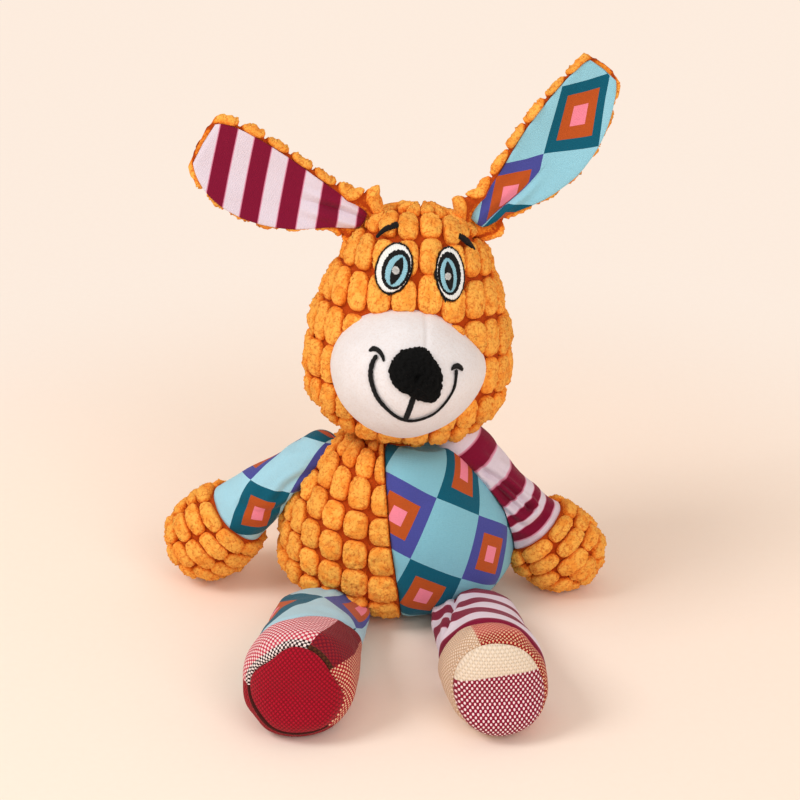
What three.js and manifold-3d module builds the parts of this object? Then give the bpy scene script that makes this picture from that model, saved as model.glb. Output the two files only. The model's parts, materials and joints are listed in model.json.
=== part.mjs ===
// A squeaky plush dog toy with long ears, sitting with its legs out in front.
// It faces -Y, so its own right side is at -X. Lengths are in millimetres, +Z is up.
import * as THREE from 'three';
import { mergeVertices } from 'three/addons/utils/BufferGeometryUtils.js';
import Module from 'manifold-3d';

const wasm = await Module();
wasm.setup();
const degree = Math.PI / 180;

// Cloth and clearances
const plushThickness = 4;
const wovenThickness = 1.2;
const velboaThickness = 1.4;
const seamGap = 0.3;
const jointGap = 0.3;
const floorFlat = 0.5;

// Body: two halves sewn together down the front and back
const bodyHeight = 65;
const bodyHalfWidth = 46;
const bodyHalfDepth = 40;
const bodyCentreX = 0.5;
const bodySeamX = -1;

// Head, leaning back and tipped towards the toy's left, on a stuffed roll at the neck
const neckX = 1;
const neckY = 2;
const neckZ = 67;
const neckRadius = 14;
const headHeight = 92;
const headBelowNeck = 1;
const headHalfWidth = 40.4;
const headHalfDepth = 37;
const headCentreX = 1.5;
const headTopZ = headHeight - headBelowNeck;
const headLean = -10 * degree;
const headRoll = 5.5 * degree;
const headYaw = 3 * degree;
const kernelWidth = 10.3;
const kernelHeight = 15.3;
const kernelDepth = 2.8;
const kernelColumnShift = 1.45;
const kernelsFrom = 18.25;

// Muzzle: a dome of short white cloth let into the face
const muzzleHalfWidth = 30.8;
const muzzleReach = 35;
const muzzleHalfHeight = 27.5;
const muzzleX = -0.4;
const muzzleSetForward = 22;
const muzzleZ = 32.2;

// Nose, mouth, eyes and brows: plush and raised thread
const noseHalfWidth = 10.2;
const noseHalfHeight = 10.4;
const noseThickness = 3;
const noseZ = 38.2;
const threadThickness = 0.8;
const stitchWidth = 1.7;
const mouthHalfSpan = 14.6;
const mouthX = 0.8;
const mouthZ = 41.3;
const mouthDrop = 21.2;
const mouthTilt = -9.5 * degree;
const cheekLength = 6.4;
const philtrumWidth = 2.2;
const eyeHalfWidth = 6.6;
const eyeHalfHeight = 9.6;
const rightEyeX = -9.3;
const leftEyeX = 11.8;
const eyeBelowTop = 20.2;
const eyeZ = headTopZ - eyeBelowTop;
const rightEyeTilt = 20 * degree;
const leftEyeTilt = -10 * degree;
const browWidth = 2.2;
const rightBrowX = -11.8;
const leftBrowX = 17;
const browBelowTop = 8.6;
const browZ = headTopZ - browBelowTop;
const browLength = 9.5;
const rightBrowSlope = 0.55;
const leftBrowSlope = -0.6;

// Ears: plush behind, printed cloth in front
const earPlushThickness = 4;
const earCup = 2.5;
const earRim = 2.6;
const earRootRadius = 5.6;
const rightEarLength = 76;
const leftEarLength = 82;
const earHalfWidth = 15.6;
const rightEarX = -19;
const rightEarBelowTop = 11;
const rightEarZ = headTopZ - rightEarBelowTop;
const leftEarX = 22;
const leftEarBelowTop = 8;
const leftEarZ = headTopZ - leftEarBelowTop;
const rightEarAngle = -64.5 * degree;
const leftEarAngle = 34 * degree;
const rightEarDroop = -38 * degree;
const rightEarLift = 30 * degree;
const leftEarDroop = -64 * degree;
const leftEarLift = 22 * degree;

// Arms: a woven sleeve and a plush hand
const shoulderX = 34.5;
const shoulderY = 0;
const shoulderZ = 57;
const rightArmLength = 69.5;
const leftArmLength = 64.5;
const handLength = 29.5;
const armHalfWidth = 14.4;
const armLift = 60 * degree;
const armRootRadius = 7.6;
const handHeight = 18.5;
const rightHandX = -74;
const rightHandY = 8;
const leftHandX = 66;
const leftHandY = 2;

// Legs: a woven cuff, a linen foot and a domed sole
const rightHipX = -23;
const leftHipX = 27;
const hipY = -34;
const hipZ = 10;
const legHalfWidth = 17.8;
const legRootRadius = 7.4;
const legRootHalfWidth = 11;
const legLift = 45 * degree;
const legDrop = 55 * degree;
const legLength = 83;
const soleDepth = 6;
const footUpperLength = 20;
const rightSoleX = -38;
const leftSoleX = 38.5;
const soleY = -114;
const soleZ = 20.4;

// Squeaker: a round bellows bulb with a reed in its neck
const squeakerRadius = 20;
const squeakerDepth = 20;
const squeakerWall = 1.2;
const squeakerY = 2;
const squeakerZ = 30;
const squeakerNeckRadius = 5.4;
const squeakerNeckLength = 7;
const reedBore = 2.3;
const reedLength = 7;
const reedWidth = 3.6;
const reedThickness = 0.4;
const reedFlangeThickness = 1.4;
const reedFlangeRadius = 6.4;

// How finely the round forms are drawn
const bodySides = 16;
const bodyRings = 9;
const limbSides = 10;
const limbRings = 8;
const muzzleRings = 8;
const earRings = 8;
const earColumns = 4;
const ballSides = 12;
const neckSides = 16;
const eyeSides = 11;
const latheSides = 14;
const cutter = 400;

// Outlines: shares of the height, of the half width and of the half depth
const bodyShares = [[0, 0, 0], [0.02, 0.52, 0.5], [0.09, 0.83, 0.83], [0.22, 0.985, 0.98], [0.38, 1, 1],
  [0.56, 0.95, 0.96], [0.72, 0.83, 0.86], [0.86, 0.66, 0.7], [0.96, 0.4, 0.45], [1, 0, 0]];
const headShares = [[0, 0, 0], [0.02, 0.5, 0.5], [0.09, 0.79, 0.79], [0.21, 0.96, 0.96], [0.36, 1, 1],
  [0.52, 0.95, 0.96], [0.68, 0.83, 0.86], [0.83, 0.66, 0.7], [0.95, 0.42, 0.44], [1, 0, 0]];
const armShares = [[0, 0, 0], [0.03, 0.36, 0.36], [0.1, 0.5, 0.5], [0.26, 0.6, 0.6], [0.42, 0.74, 0.74],
  [0.57, 0.82, 0.82], [0.66, 0.93, 0.93], [0.8, 1, 1], [0.93, 0.74, 0.74], [1, 0, 0]];
const legShares = [[0, 0, 0], [0.03, 0.5, 0.34], [0.12, 0.72, 0.46], [0.3, 0.8, 0.62], [0.5, 0.87, 0.8],
  [0.66, 0.95, 0.95], [0.81, 1, 1], [0.93, 0.9, 0.9], [0.98, 0.6, 0.6], [1, 0, 0]];
const earShares = [[0, 0, 1], [0.04, 0.28, 1], [0.16, 0.46, 1], [0.34, 0.76, 1], [0.52, 0.95, 1],
  [0.7, 1, 1], [0.85, 0.88, 1], [0.95, 0.58, 1], [1, 0, 1]];
const noseShares = [[-0.18, 1], [0.52, 0.9], [0.94, 0.42], [1, -0.18], [0.72, -0.84],
  [0.06, -1], [-0.6, -0.72], [-1, -0.1], [-0.78, 0.6]];
const eyeLayerShares = { outline: [1, 1], white: [0.84, 0.88], rim: [0.6, 0.68], iris: [0.47, 0.58],
  pupil: [0.3, 0.42], glint: [0.14, 0.14] };
const kernelSlopeShare = 0.2;
const mostSpreadShare = 1.6;
const browRiseShare = 0.42;
const cheekRiseShare = 0.3;
const earEdgeThinShare = 0.5;

// A smooth line through rows of shares, carried on through the axis past either pole
function rowAt(rows, place) {
  const last = rows.length - 1;
  const row = (i) => {
    if (i < 0) return [rows[-i][0], -rows[-i][1], -rows[-i][2]];
    if (i > last) return [rows[2 * last - i][0], -rows[2 * last - i][1], -rows[2 * last - i][2]];
    return rows[i];
  };
  const start = Math.min(Math.floor(place), last - 1);
  const f = place - start;
  const [a, b, c, d] = [row(start - 1), row(start), row(start + 1), row(start + 2)];
  return [0, 1, 2].map((k) => 0.5 * (2 * b[k] + (c[k] - a[k]) * f
    + (2 * a[k] - 5 * b[k] + 4 * c[k] - d[k]) * f * f + (3 * b[k] - a[k] - 3 * c[k] + d[k]) * f ** 3));
}

// A closed skin over rings of points between two pole points
function ringSkin(rings, bottom, top) {
  const sides = rings[0].length;
  const points = [bottom, ...rings.flat(), top];
  const index = [];
  for (let s = 0; s < sides; s += 1) {
    const next = (s + 1) % sides;
    index.push(0, 1 + next, 1 + s);
    for (let r = 0; r < rings.length - 1; r += 1) {
      const low = 1 + r * sides;
      const high = low + sides;
      index.push(low + s, low + next, high + next, low + s, high + next, high + s);
    }
    const lastRing = 1 + (rings.length - 1) * sides;
    index.push(lastRing + s, lastRing + next, points.length - 1);
  }
  const geometry = new THREE.BufferGeometry();
  geometry.setAttribute('position', new THREE.Float32BufferAttribute(points.flatMap((p) => p.toArray()), 3));
  geometry.setIndex(index);
  return geometry;
}

// A stuffed form: oval rings along Z, grown or shrunk along its own surface
function stuffedForm({ rows, length, halfWidth, halfDepth, base = 0, centreX = 0, sides, rings }) {
  const last = rows.length - 1;
  const point = (place, angle) => {
    const [along, wide, deep] = rowAt(rows, Math.min(Math.max(place, 0), last));
    return new THREE.Vector3(centreX + wide * halfWidth * Math.cos(angle),
      deep * halfDepth * Math.sin(angle), base + along * length);
  };
  const step = 0.01;
  const normal = (place, angle) => {
    const up = point(place + step, angle).sub(point(place - step, angle));
    const round = point(place, angle + step).sub(point(place, angle - step));
    return round.cross(up).normalize();
  };
  const pole = (place, growth) => {
    const at = point(place, 0);
    at.z += growth;
    return at;
  };
  const ringPoint = (r, s, growth) => {
    const place = (last * r) / rings;
    if (r === 0 || r === rings) return pole(place, r === 0 ? -growth : growth);
    const angle = (2 * Math.PI * s) / sides;
    return point(place, angle).addScaledVector(normal(place, angle), growth);
  };
  const form = (growth) => {
    const grid = Array.from({ length: rings - 1 }, (_, r) =>
      Array.from({ length: sides }, (__, s) => ringPoint(r + 1, s, growth)));
    return solidOf(ringSkin(grid, ringPoint(0, 0, growth), ringPoint(rings, 0, growth)));
  };

  // A point on the facets of the form, rather than on the smooth line through their corners
  const facetPoint = (place, angle) => {
    const r = Math.min(Math.floor((place * rings) / last), rings - 1);
    const s = Math.floor((angle * sides) / (2 * Math.PI));
    const up = (place * rings) / last - r;
    const round = (angle * sides) / (2 * Math.PI) - s;
    const on = (ring) => ringPoint(ring, s, 0).lerp(ringPoint(ring, s + 1, 0), round);
    return on(r).lerp(on(r + 1), up);
  };

  // The run up the front line, as a table of places
  const front = -Math.PI / 2;
  const runSteps = 400;
  const runs = [0];
  for (let i = 1; i <= runSteps; i += 1) {
    const at = (k) => point((last * k) / runSteps, front);
    runs.push(runs[i - 1] + at(i).distanceTo(at(i - 1)));
  }
  const placeAtRun = (run) => {
    const i = Math.min(Math.max(runs.findIndex((r) => r >= run), 1), runSteps);
    return (last * (i - (runs[i] - run) / (runs[i] - runs[i - 1]))) / runSteps;
  };

  // The form raised in kernels, pads in rows up it and in columns round it. Where it is slim
  // the columns spread out at the front and crowd at the back
  form.kernelled = (depth) => {
    const total = runs[runSteps];
    const columns = Math.round((Math.PI * (halfWidth + halfDepth)) / kernelWidth);
    const shift = kernelColumnShift / kernelWidth;
    const edges = [0];
    for (let run = kernelsFrom; run < total - kernelHeight / 2; run += kernelHeight) edges.push(run);
    edges.push(total);
    const lines = (from, to) => [0, kernelSlopeShare, 1 - kernelSlopeShare]
      .map((share) => ({ at: from + share * (to - from), raised: share > 0 }));
    const upLines = edges.slice(1).flatMap((edge, i) => lines(edges[i], edge)).slice(1);
    const roundLines = Array.from({ length: columns }, (_, i) => lines(i - shift, i + 1 - shift)).flat();
    const grid = upLines.map((up) => {
      const place = placeAtRun(up.at);
      const [, wide, deep] = rowAt(rows, place);
      const radius = Math.abs(wide * halfWidth + deep * halfDepth) / 2;
      const spread = Math.min((columns * kernelWidth) / (2 * Math.PI * radius), mostSpreadShare);
      return roundLines.map(({ at, raised }) => {
        const half = columns / 2;
        const share = at > half ? (at - columns) / half : at / half;
        const angle = front + Math.PI * share * (spread + (1 - spread) * Math.abs(share));
        const sunk = raised && up.raised ? 0 : -depth;
        return facetPoint(place, angle).addScaledVector(normal(place, angle), sunk);
      });
    });
    return solidOf(ringSkin(grid, pole(0, depth), pole(last, -depth)));
  };
  return form;
}

// Three.js geometry to a solid, and back again
function solidOf(source, matrix) {
  const geometry = source.clone();
  if (matrix) geometry.applyMatrix4(matrix);
  geometry.deleteAttribute('normal');
  geometry.deleteAttribute('uv');
  const merged = mergeVertices(geometry);
  return new wasm.Manifold(new wasm.Mesh({
    numProp: 3,
    vertProperties: merged.attributes.position.array,
    triVerts: Uint32Array.from(merged.index.array),
  }));
}

// The main body of a solid, without the crumbs that a cut may leave
function largest(solid) {
  return solid.decompose().reduce((most, one) => (one.volume() > most.volume() ? one : most));
}

function moved(solid, matrix) {
  return solid.transform(matrix.elements);
}

function pieceOf(name, solid, material) {
  const mesh = solid.getMesh();
  const geometry = new THREE.BufferGeometry();
  geometry.setAttribute('position', new THREE.BufferAttribute(mesh.vertProperties, 3));
  geometry.setIndex(new THREE.BufferAttribute(mesh.triVerts, 1));
  geometry.computeVertexNormals();
  const piece = new THREE.Mesh(geometry, material);
  piece.name = name;
  return piece;
}

function ball(radius, sides = ballSides) {
  return solidOf(new THREE.SphereGeometry(radius, sides, sides / 2 + 1));
}

// The radius of a faceted socket whose flats stay clear of a ball turning in it
function socketRadius(radius, sides = ballSides) {
  return (radius + jointGap) / Math.cos(Math.PI / sides) ** 2;
}

function ellipsoid(growth) {
  const sphere = new THREE.SphereGeometry(1, bodySides, muzzleRings);
  sphere.scale(muzzleHalfWidth + growth, muzzleReach + growth, muzzleHalfHeight + growth);
  sphere.translate(muzzleX, -muzzleSetForward, muzzleZ);
  return solidOf(sphere);
}

// A large block on one side of a plane square to an axis
function blockBeyond(axis, from, sign) {
  const block = new THREE.BoxGeometry(cutter, cutter, cutter);
  const shift = new THREE.Vector3();
  shift[axis] = from + (sign * cutter) / 2;
  block.translate(shift.x, shift.y, shift.z);
  return solidOf(block);
}

// A prism of a flat outline in X and Z, running forward from a plane square to Y
function forwardPrism(outline, start = 0, holes = []) {
  const shape = new THREE.Shape(outline);
  shape.holes = holes.map((hole) => new THREE.Path(hole));
  const prism = new THREE.ExtrudeGeometry(shape, { depth: cutter, bevelEnabled: false });
  prism.rotateX(Math.PI / 2);
  prism.translate(0, start, 0);
  return solidOf(prism);
}

function ovalPoints(x, z, halfWidth, halfHeight, tilt, sides) {
  return Array.from({ length: sides }, (_, s) => {
    const angle = (2 * Math.PI * s) / sides;
    const across = halfWidth * Math.cos(angle);
    const up = halfHeight * Math.sin(angle);
    return new THREE.Vector2(x + across * Math.cos(tilt) + up * Math.sin(tilt),
      z - across * Math.sin(tilt) + up * Math.cos(tilt));
  });
}

// The outline of a stitched line: its middle line widened to both sides
function stitchOutline(middle, width) {
  const side = (sign) => middle.map((p, i) => {
    const before = middle[Math.max(i - 1, 0)];
    const after = middle[Math.min(i + 1, middle.length - 1)];
    const along = after.clone().sub(before).normalize();
    return new THREE.Vector2(p.x - (sign * along.y * width) / 2, p.y + (sign * along.x * width) / 2);
  });
  return [...side(-1), ...side(1).reverse()];
}

// Materials
const cloth = (color, roughness = 0.95) => new THREE.MeshStandardMaterial({ color, roughness, metalness: 0 });
const orangePlush = cloth(0xee9440);
const blackPlush = cloth(0x121212);
const whiteVelboa = cloth(0xf3eee9);
const argylePrint = cloth(0x7cbccb, 0.9);
const stripedPrint = cloth(0x8f1d3f, 0.9);
const linenPlaid = cloth(0xb5545a);
const linenCream = cloth(0xd9b9a4);
const soleCrimson = cloth(0xb0122c);
const soleCheck = cloth(0xb87068);
const blackThread = cloth(0x0d0d0d, 0.6);
const whiteThread = cloth(0xf4f4f2, 0.6);
const blueThread = cloth(0x8fc3d6, 0.6);
const wadding = cloth(0xefefec, 1);
const squeakerPlastic = cloth(0xe8e6df, 0.5);
const reedPlastic = cloth(0xc9c4b4, 0.4);

const toy = new THREE.Group();
const floor = blockBeyond('z', 0, -1);

// Frames of the parts that move, each at its own pivot
const neckFrame = new THREE.Group();
neckFrame.position.set(neckX, neckY, neckZ);
const headFrame = new THREE.Group();
headFrame.rotation.set(headLean, headRoll, headYaw, 'ZYX');
neckFrame.add(headFrame);
toy.add(neckFrame);

// A limb's Z runs along it, and it turns about its level X
function limbFrame(pivot, target) {
  const frame = new THREE.Group();
  frame.position.copy(pivot);
  const along = target.clone().sub(pivot).normalize();
  const across = new THREE.Vector3(0, 0, 1).cross(along).normalize();
  const third = along.clone().cross(across);
  frame.quaternion.setFromRotationMatrix(new THREE.Matrix4().makeBasis(across, third, along));
  frame.updateMatrix();
  toy.add(frame);
  return frame;
}

const limbs = {
  right_arm: limbFrame(new THREE.Vector3(-shoulderX, shoulderY, shoulderZ),
    new THREE.Vector3(rightHandX, rightHandY, handHeight)),
  left_arm: limbFrame(new THREE.Vector3(shoulderX, shoulderY, shoulderZ),
    new THREE.Vector3(leftHandX, leftHandY, handHeight)),
  right_leg: limbFrame(new THREE.Vector3(rightHipX, hipY, hipZ),
    new THREE.Vector3(rightSoleX, soleY, soleZ)),
  left_leg: limbFrame(new THREE.Vector3(leftHipX, hipY, hipZ),
    new THREE.Vector3(leftSoleX, soleY, soleZ)),
};

function earFrame(x, z, angle) {
  const frame = new THREE.Group();
  frame.position.set(x, 0, z);
  frame.rotation.y = angle;
  frame.updateMatrix();
  headFrame.add(frame);
  return frame;
}

const earFrames = {
  right_ear: earFrame(rightEarX, rightEarZ, rightEarAngle),
  left_ear: earFrame(leftEarX, leftEarZ, leftEarAngle),
};

// Body: covers, wadding and squeaker
const bodyForm = stuffedForm({
  rows: bodyShares, length: bodyHeight + floorFlat, halfWidth: bodyHalfWidth, halfDepth: bodyHalfDepth,
  base: -floorFlat, centreX: bodyCentreX, sides: bodySides, rings: bodyRings,
});

function squeakerLathe(growth) {
  const neckStart = squeakerDepth / 2;
  const round = squeakerDepth / 2 + growth;
  const rim = squeakerRadius - squeakerDepth / 2;
  const steps = 5;
  const points = [new THREE.Vector2(0, -round)];
  for (let i = 0; i <= steps; i += 1) {
    const angle = -Math.PI / 2 + (Math.PI * i) / steps;
    points.push(new THREE.Vector2(rim + round * Math.cos(angle), round * Math.sin(angle)));
  }
  points.push(new THREE.Vector2(squeakerNeckRadius + growth, round));
  points.push(new THREE.Vector2(squeakerNeckRadius + growth, neckStart + squeakerNeckLength + growth));
  return points;
}

function atSqueaker(geometry) {
  geometry.rotateZ(Math.PI);
  geometry.translate(bodySeamX, squeakerY, squeakerZ);
  return solidOf(geometry);
}

function makeSqueaker() {
  const boreRadius = squeakerNeckRadius - squeakerWall;
  const neckEnd = squeakerDepth / 2 + squeakerNeckLength;
  const outer = squeakerLathe(0);
  const inner = squeakerLathe(-squeakerWall).slice(0, -2).reverse();
  const bore = [new THREE.Vector2(boreRadius, neckEnd),
    new THREE.Vector2(boreRadius, squeakerDepth / 2 - squeakerWall)];
  const bulb = atSqueaker(new THREE.LatheGeometry([...outer, ...bore, ...inner], latheSides));

  const holderRadius = boreRadius - seamGap;
  const holderStart = neckEnd - squeakerNeckLength - squeakerWall;
  const flangeStart = neckEnd + seamGap;
  const flangeEnd = flangeStart + reedFlangeThickness;
  const holderProfile = [[reedBore, holderStart], [holderRadius, holderStart], [holderRadius, flangeStart],
    [reedFlangeRadius, flangeStart], [reedFlangeRadius, flangeEnd], [reedBore, flangeEnd],
    [reedBore, holderStart]].map(([r, y]) => new THREE.Vector2(r, y));
  const holder = atSqueaker(new THREE.LatheGeometry(holderProfile, ballSides));

  const strip = new THREE.BoxGeometry(reedWidth, reedLength, reedThickness);
  strip.translate(0, flangeEnd - reedLength / 2, 0);
  const reed = atSqueaker(strip);

  const spaceProfile = squeakerLathe(seamGap);
  const spaceEnd = flangeEnd + seamGap;
  spaceProfile.pop();
  spaceProfile.pop();
  spaceProfile.push(new THREE.Vector2(reedFlangeRadius + seamGap, squeakerDepth / 2 + seamGap));
  spaceProfile.push(new THREE.Vector2(reedFlangeRadius + seamGap, spaceEnd));
  spaceProfile.push(new THREE.Vector2(0, spaceEnd));
  const space = atSqueaker(new THREE.LatheGeometry(spaceProfile, latheSides));
  toy.add(pieceOf('squeaker_bulb', bulb, squeakerPlastic));
  toy.add(pieceOf('squeaker_reed_holder', holder, squeakerPlastic));
  toy.add(pieceOf('squeaker_reed', reed, reedPlastic));
  return space;
}

// A limb's root: a ball, or one drawn out along the X that it turns about
function rootBall(halfWidth, radius) {
  const sphere = new THREE.SphereGeometry(1, ballSides, ballSides / 2 + 1);
  sphere.scale(halfWidth, radius, radius);
  return solidOf(sphere);
}

const armRoot = (growth) => rootBall(armRootRadius + growth, armRootRadius + growth);
const legRoot = (growth) => rootBall(legRootHalfWidth + growth, legRootRadius + growth);
const rootSocket = (halfWidth, radius) => rootBall(socketRadius(halfWidth + wovenThickness),
  socketRadius(radius + wovenThickness));

// What the body gives way to: the neck ball and the limb roots
function bodySocketSolid() {
  const neck = new THREE.Matrix4().makeTranslation(neckX, neckY, neckZ);
  let all = moved(ball(socketRadius(neckRadius, neckSides), neckSides), neck);
  for (const [name, frame] of Object.entries(limbs)) {
    const socket = name.endsWith('arm') ? rootSocket(armRootRadius, armRootRadius)
      : rootSocket(legRootHalfWidth, legRootRadius);
    all = all.add(moved(socket, frame.matrix));
  }
  return all;
}

function makeBody() {
  const squeakerSpace = makeSqueaker();
  const bodySockets = bodySocketSolid();
  const outer = bodyForm(0).subtract(floor).subtract(bodySockets);
  const rightSide = blockBeyond('x', bodySeamX - seamGap / 2, -1);
  const leftSide = blockBeyond('x', bodySeamX + seamGap / 2, 1);
  const halves = [
    ['right', rightSide, plushThickness, orangePlush],
    ['left', leftSide, wovenThickness, argylePrint],
  ];
  for (const [side, block, thickness, material] of halves) {
    const cover = outer.subtract(bodyForm(-thickness)).intersect(block);
    const core = bodyForm(-thickness - seamGap).intersect(block).subtract(bodySockets).subtract(squeakerSpace);
    toy.add(pieceOf(`body_${side}_cover`, cover, material));
    toy.add(pieceOf(`body_${side}_wadding`, core, wadding));
  }
}

// Head: cover, wadding, muzzle and face
const headForm = stuffedForm({
  rows: headShares, length: headHeight, halfWidth: headHalfWidth, halfDepth: headHalfDepth,
  base: -headBelowNeck, centreX: headCentreX, sides: bodySides, rings: bodyRings,
});

function makeHead() {
  const earSockets = Object.values(earFrames)
    .map((frame) => moved(ball(socketRadius(earRootRadius)), frame.matrix));
  const neckSocket = ball(socketRadius(neckRadius, neckSides), neckSides);
  const socket = earSockets.reduce((all, one) => all.add(one), neckSocket);
  const cover = largest(headForm.kernelled(kernelDepth).subtract(headForm(-plushThickness)).subtract(socket)
    .subtract(ellipsoid(seamGap)));
  const muzzle = ellipsoid(0).subtract(ellipsoid(-velboaThickness)).subtract(headForm(-plushThickness));
  const core = headForm(-plushThickness - seamGap).add(ellipsoid(-velboaThickness - seamGap))
    .subtract(socket);
  headFrame.add(pieceOf('head_cover', cover, orangePlush));
  headFrame.add(pieceOf('muzzle_cover', muzzle, whiteVelboa));
  headFrame.add(pieceOf('head_wadding', core, wadding));
  neckFrame.add(pieceOf('neck_roll', ball(neckRadius, neckSides), orangePlush));
}

function makeMouth() {
  const front = -muzzleSetForward;
  const layer = ellipsoid(seamGap + threadThickness).subtract(ellipsoid(seamGap));
  const noseLayer = ellipsoid(seamGap + noseThickness).subtract(ellipsoid(seamGap));
  const noseOutline = noseShares.map(([x, z]) => new THREE.Vector2(x * noseHalfWidth,
    noseZ + z * noseHalfHeight));
  headFrame.add(pieceOf('nose', noseLayer.intersect(forwardPrism(noseOutline, front)), blackPlush));
  const stitch = (name, middle, width) => headFrame.add(pieceOf(name,
    layer.intersect(forwardPrism(stitchOutline(middle, width), front)), blackThread));

  const centre = new THREE.Vector2(mouthX, mouthZ);
  const tipped = (x, z) => new THREE.Vector2(x, z).rotateAround(new THREE.Vector2(), mouthTilt).add(centre);
  const smileSteps = 10;
  const smile = Array.from({ length: smileSteps + 1 }, (_, i) => {
    const angle = Math.PI * (1 + i / smileSteps);
    return tipped(mouthHalfSpan * Math.cos(angle), mouthDrop * Math.sin(angle));
  });
  stitch('mouth_stitch', smile, stitchWidth);

  const philtrumTop = new THREE.Vector2(0, noseZ - noseHalfHeight - seamGap);
  const philtrumEnd = tipped(0, -mouthDrop + stitchWidth / 2 + 2 * seamGap);
  stitch('philtrum_stitch', [philtrumTop, philtrumEnd], philtrumWidth);

  for (const [side, sign] of [['right', -1], ['left', 1]]) {
    const up = seamGap + stitchWidth / 2;
    const cheek = [-1, 0, 1].map((t) => tipped(sign * mouthHalfSpan + (t * cheekLength) / 2,
      up + (1 - t * t) * cheekRiseShare * cheekLength));
    stitch(`${side}_cheek_stitch`, cheek, stitchWidth);
  }
}

// Each eye is a set of threads laid side by side, one inside the other
function makeEye(side, x, tilt) {
  const layer = headForm(seamGap + threadThickness).subtract(headForm(seamGap));
  const oval = ([wide, high], inset) => ovalPoints(x, eyeZ, eyeHalfWidth * wide - inset,
    eyeHalfHeight * high - inset, tilt, eyeSides);
  const threads = { outline: blackThread, white: whiteThread, rim: blackThread, iris: blueThread,
    pupil: blackThread, glint: whiteThread };
  const names = Object.keys(threads);
  names.forEach((name, i) => {
    const outline = oval(eyeLayerShares[name], i === 0 ? 0 : seamGap);
    const holes = i < names.length - 1 ? [oval(eyeLayerShares[names[i + 1]], 0)] : [];
    headFrame.add(pieceOf(`${side}_eye_${name}`, layer.intersect(forwardPrism(outline, 0, holes)),
      threads[name]));
  });
}

function makeBrow(side, x, slope) {
  const layer = headForm(seamGap + threadThickness).subtract(headForm(seamGap));
  const steps = 4;
  const middle = Array.from({ length: steps + 1 }, (_, i) => {
    const t = (2 * i) / steps - 1;
    return new THREE.Vector2(x + (t * browLength) / 2,
      browZ + (slope * t * browLength) / 2 + (1 - t * t) * browRiseShare * browWidth);
  });
  headFrame.add(pieceOf(`${side}_brow`, layer.intersect(forwardPrism(stitchOutline(middle, browWidth))),
    blackThread));
}

// Ears: a cupped plush blade from a root ball, with a printed panel on its front
function bladeSolid(length, front, back, rim, start) {
  const last = earShares.length - 1;
  const ring = (place) => {
    const [along, wide] = rowAt(earShares, place);
    const halfWidth = Math.max(wide * earHalfWidth - rim, seamGap);
    const z = start + along * (length - start - rim);
    const at = (u, y) => new THREE.Vector3(u * halfWidth, y - earCup * (u * halfWidth / earHalfWidth) ** 2, z);
    const columns = Array.from({ length: earColumns + 1 }, (_, i) => (2 * i) / earColumns - 1);
    const bow = (u) => front + (back - front) * (1 - earEdgeThinShare * u * u);
    return [...columns.map((u) => at(u, front)), ...columns.reverse().map((u) => at(u, bow(u)))];
  };
  const rings = Array.from({ length: earRings - 1 }, (_, r) => ring((last * (r + 1)) / earRings));
  const middle = (z) => new THREE.Vector3(0, (front + back) / 2, z);
  return solidOf(ringSkin(rings, middle(start), middle(length - rim)));
}

// All that a larger form takes up as a piece turns about an axis of its own frame
function keepOut(form, frame, axis, angles) {
  return angles.map((angle) => {
    const turned = frame.matrix.clone().multiply(new THREE.Matrix4().makeRotationAxis(axis, angle));
    return moved(form, turned.invert());
  }).reduce((all, one) => all.add(one));
}

function makeEar(name, length, print, droop, lift) {
  const frame = earFrames[name];
  const axis = new THREE.Vector3(0, name === 'right_ear' ? 1 : -1, 0);
  const head = keepOut(headForm(seamGap), frame, axis, [droop, 0, lift]);
  const back = bladeSolid(length, 0, earPlushThickness, 0, 0).subtract(head).add(ball(earRootRadius));
  const clear = ball(socketRadius(earRootRadius)).add(head);
  const front = bladeSolid(length, -seamGap - wovenThickness, -seamGap, earRim, earRootRadius).subtract(clear);
  frame.add(pieceOf(`${name}_back`, back, orangePlush));
  frame.add(pieceOf(`${name}_front`, front, print));
}

// Arms and legs: cloth tubes over one core of wadding, from a root at the pivot. Where a limb
// would press into the body, anywhere in its range, it is flattened against it.
function limbSolids(frame, form, root, angles) {
  const axis = new THREE.Vector3(1, 0, 0);
  return (growth) => form(growth).subtract(blockBeyond('z', 0, -1))
    .subtract(keepOut(bodyForm(seamGap + wovenThickness - growth), frame, axis, angles))
    .add(root(growth));
}

function makeArm(name, length, print) {
  const frame = limbs[name];
  const sleeveLength = length - handLength;
  const form = stuffedForm({
    rows: armShares, length: length + armRootRadius, halfWidth: armHalfWidth, halfDepth: armHalfWidth,
    base: -armRootRadius, sides: limbSides, rings: limbRings,
  });
  const rooted = limbSolids(frame, form, armRoot, [0, -armLift]);
  const ground = moved(floor, frame.matrix.clone().invert());
  const nearer = blockBeyond('z', sleeveLength, -1);
  const further = blockBeyond('z', sleeveLength + seamGap, 1);
  const sleeve = rooted(wovenThickness).intersect(nearer).subtract(rooted(0));
  const body = moved(bodyForm(seamGap), frame.matrix.clone().invert());
  const hand = form(plushThickness).subtract(body).subtract(rooted(0)).intersect(further).subtract(ground);
  frame.add(pieceOf(`${name}_sleeve`, sleeve, print));
  frame.add(pieceOf(name.replace('arm', 'hand'), hand, orangePlush));
  frame.add(pieceOf(`${name}_wadding`, rooted(-seamGap), wadding));
}

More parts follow.
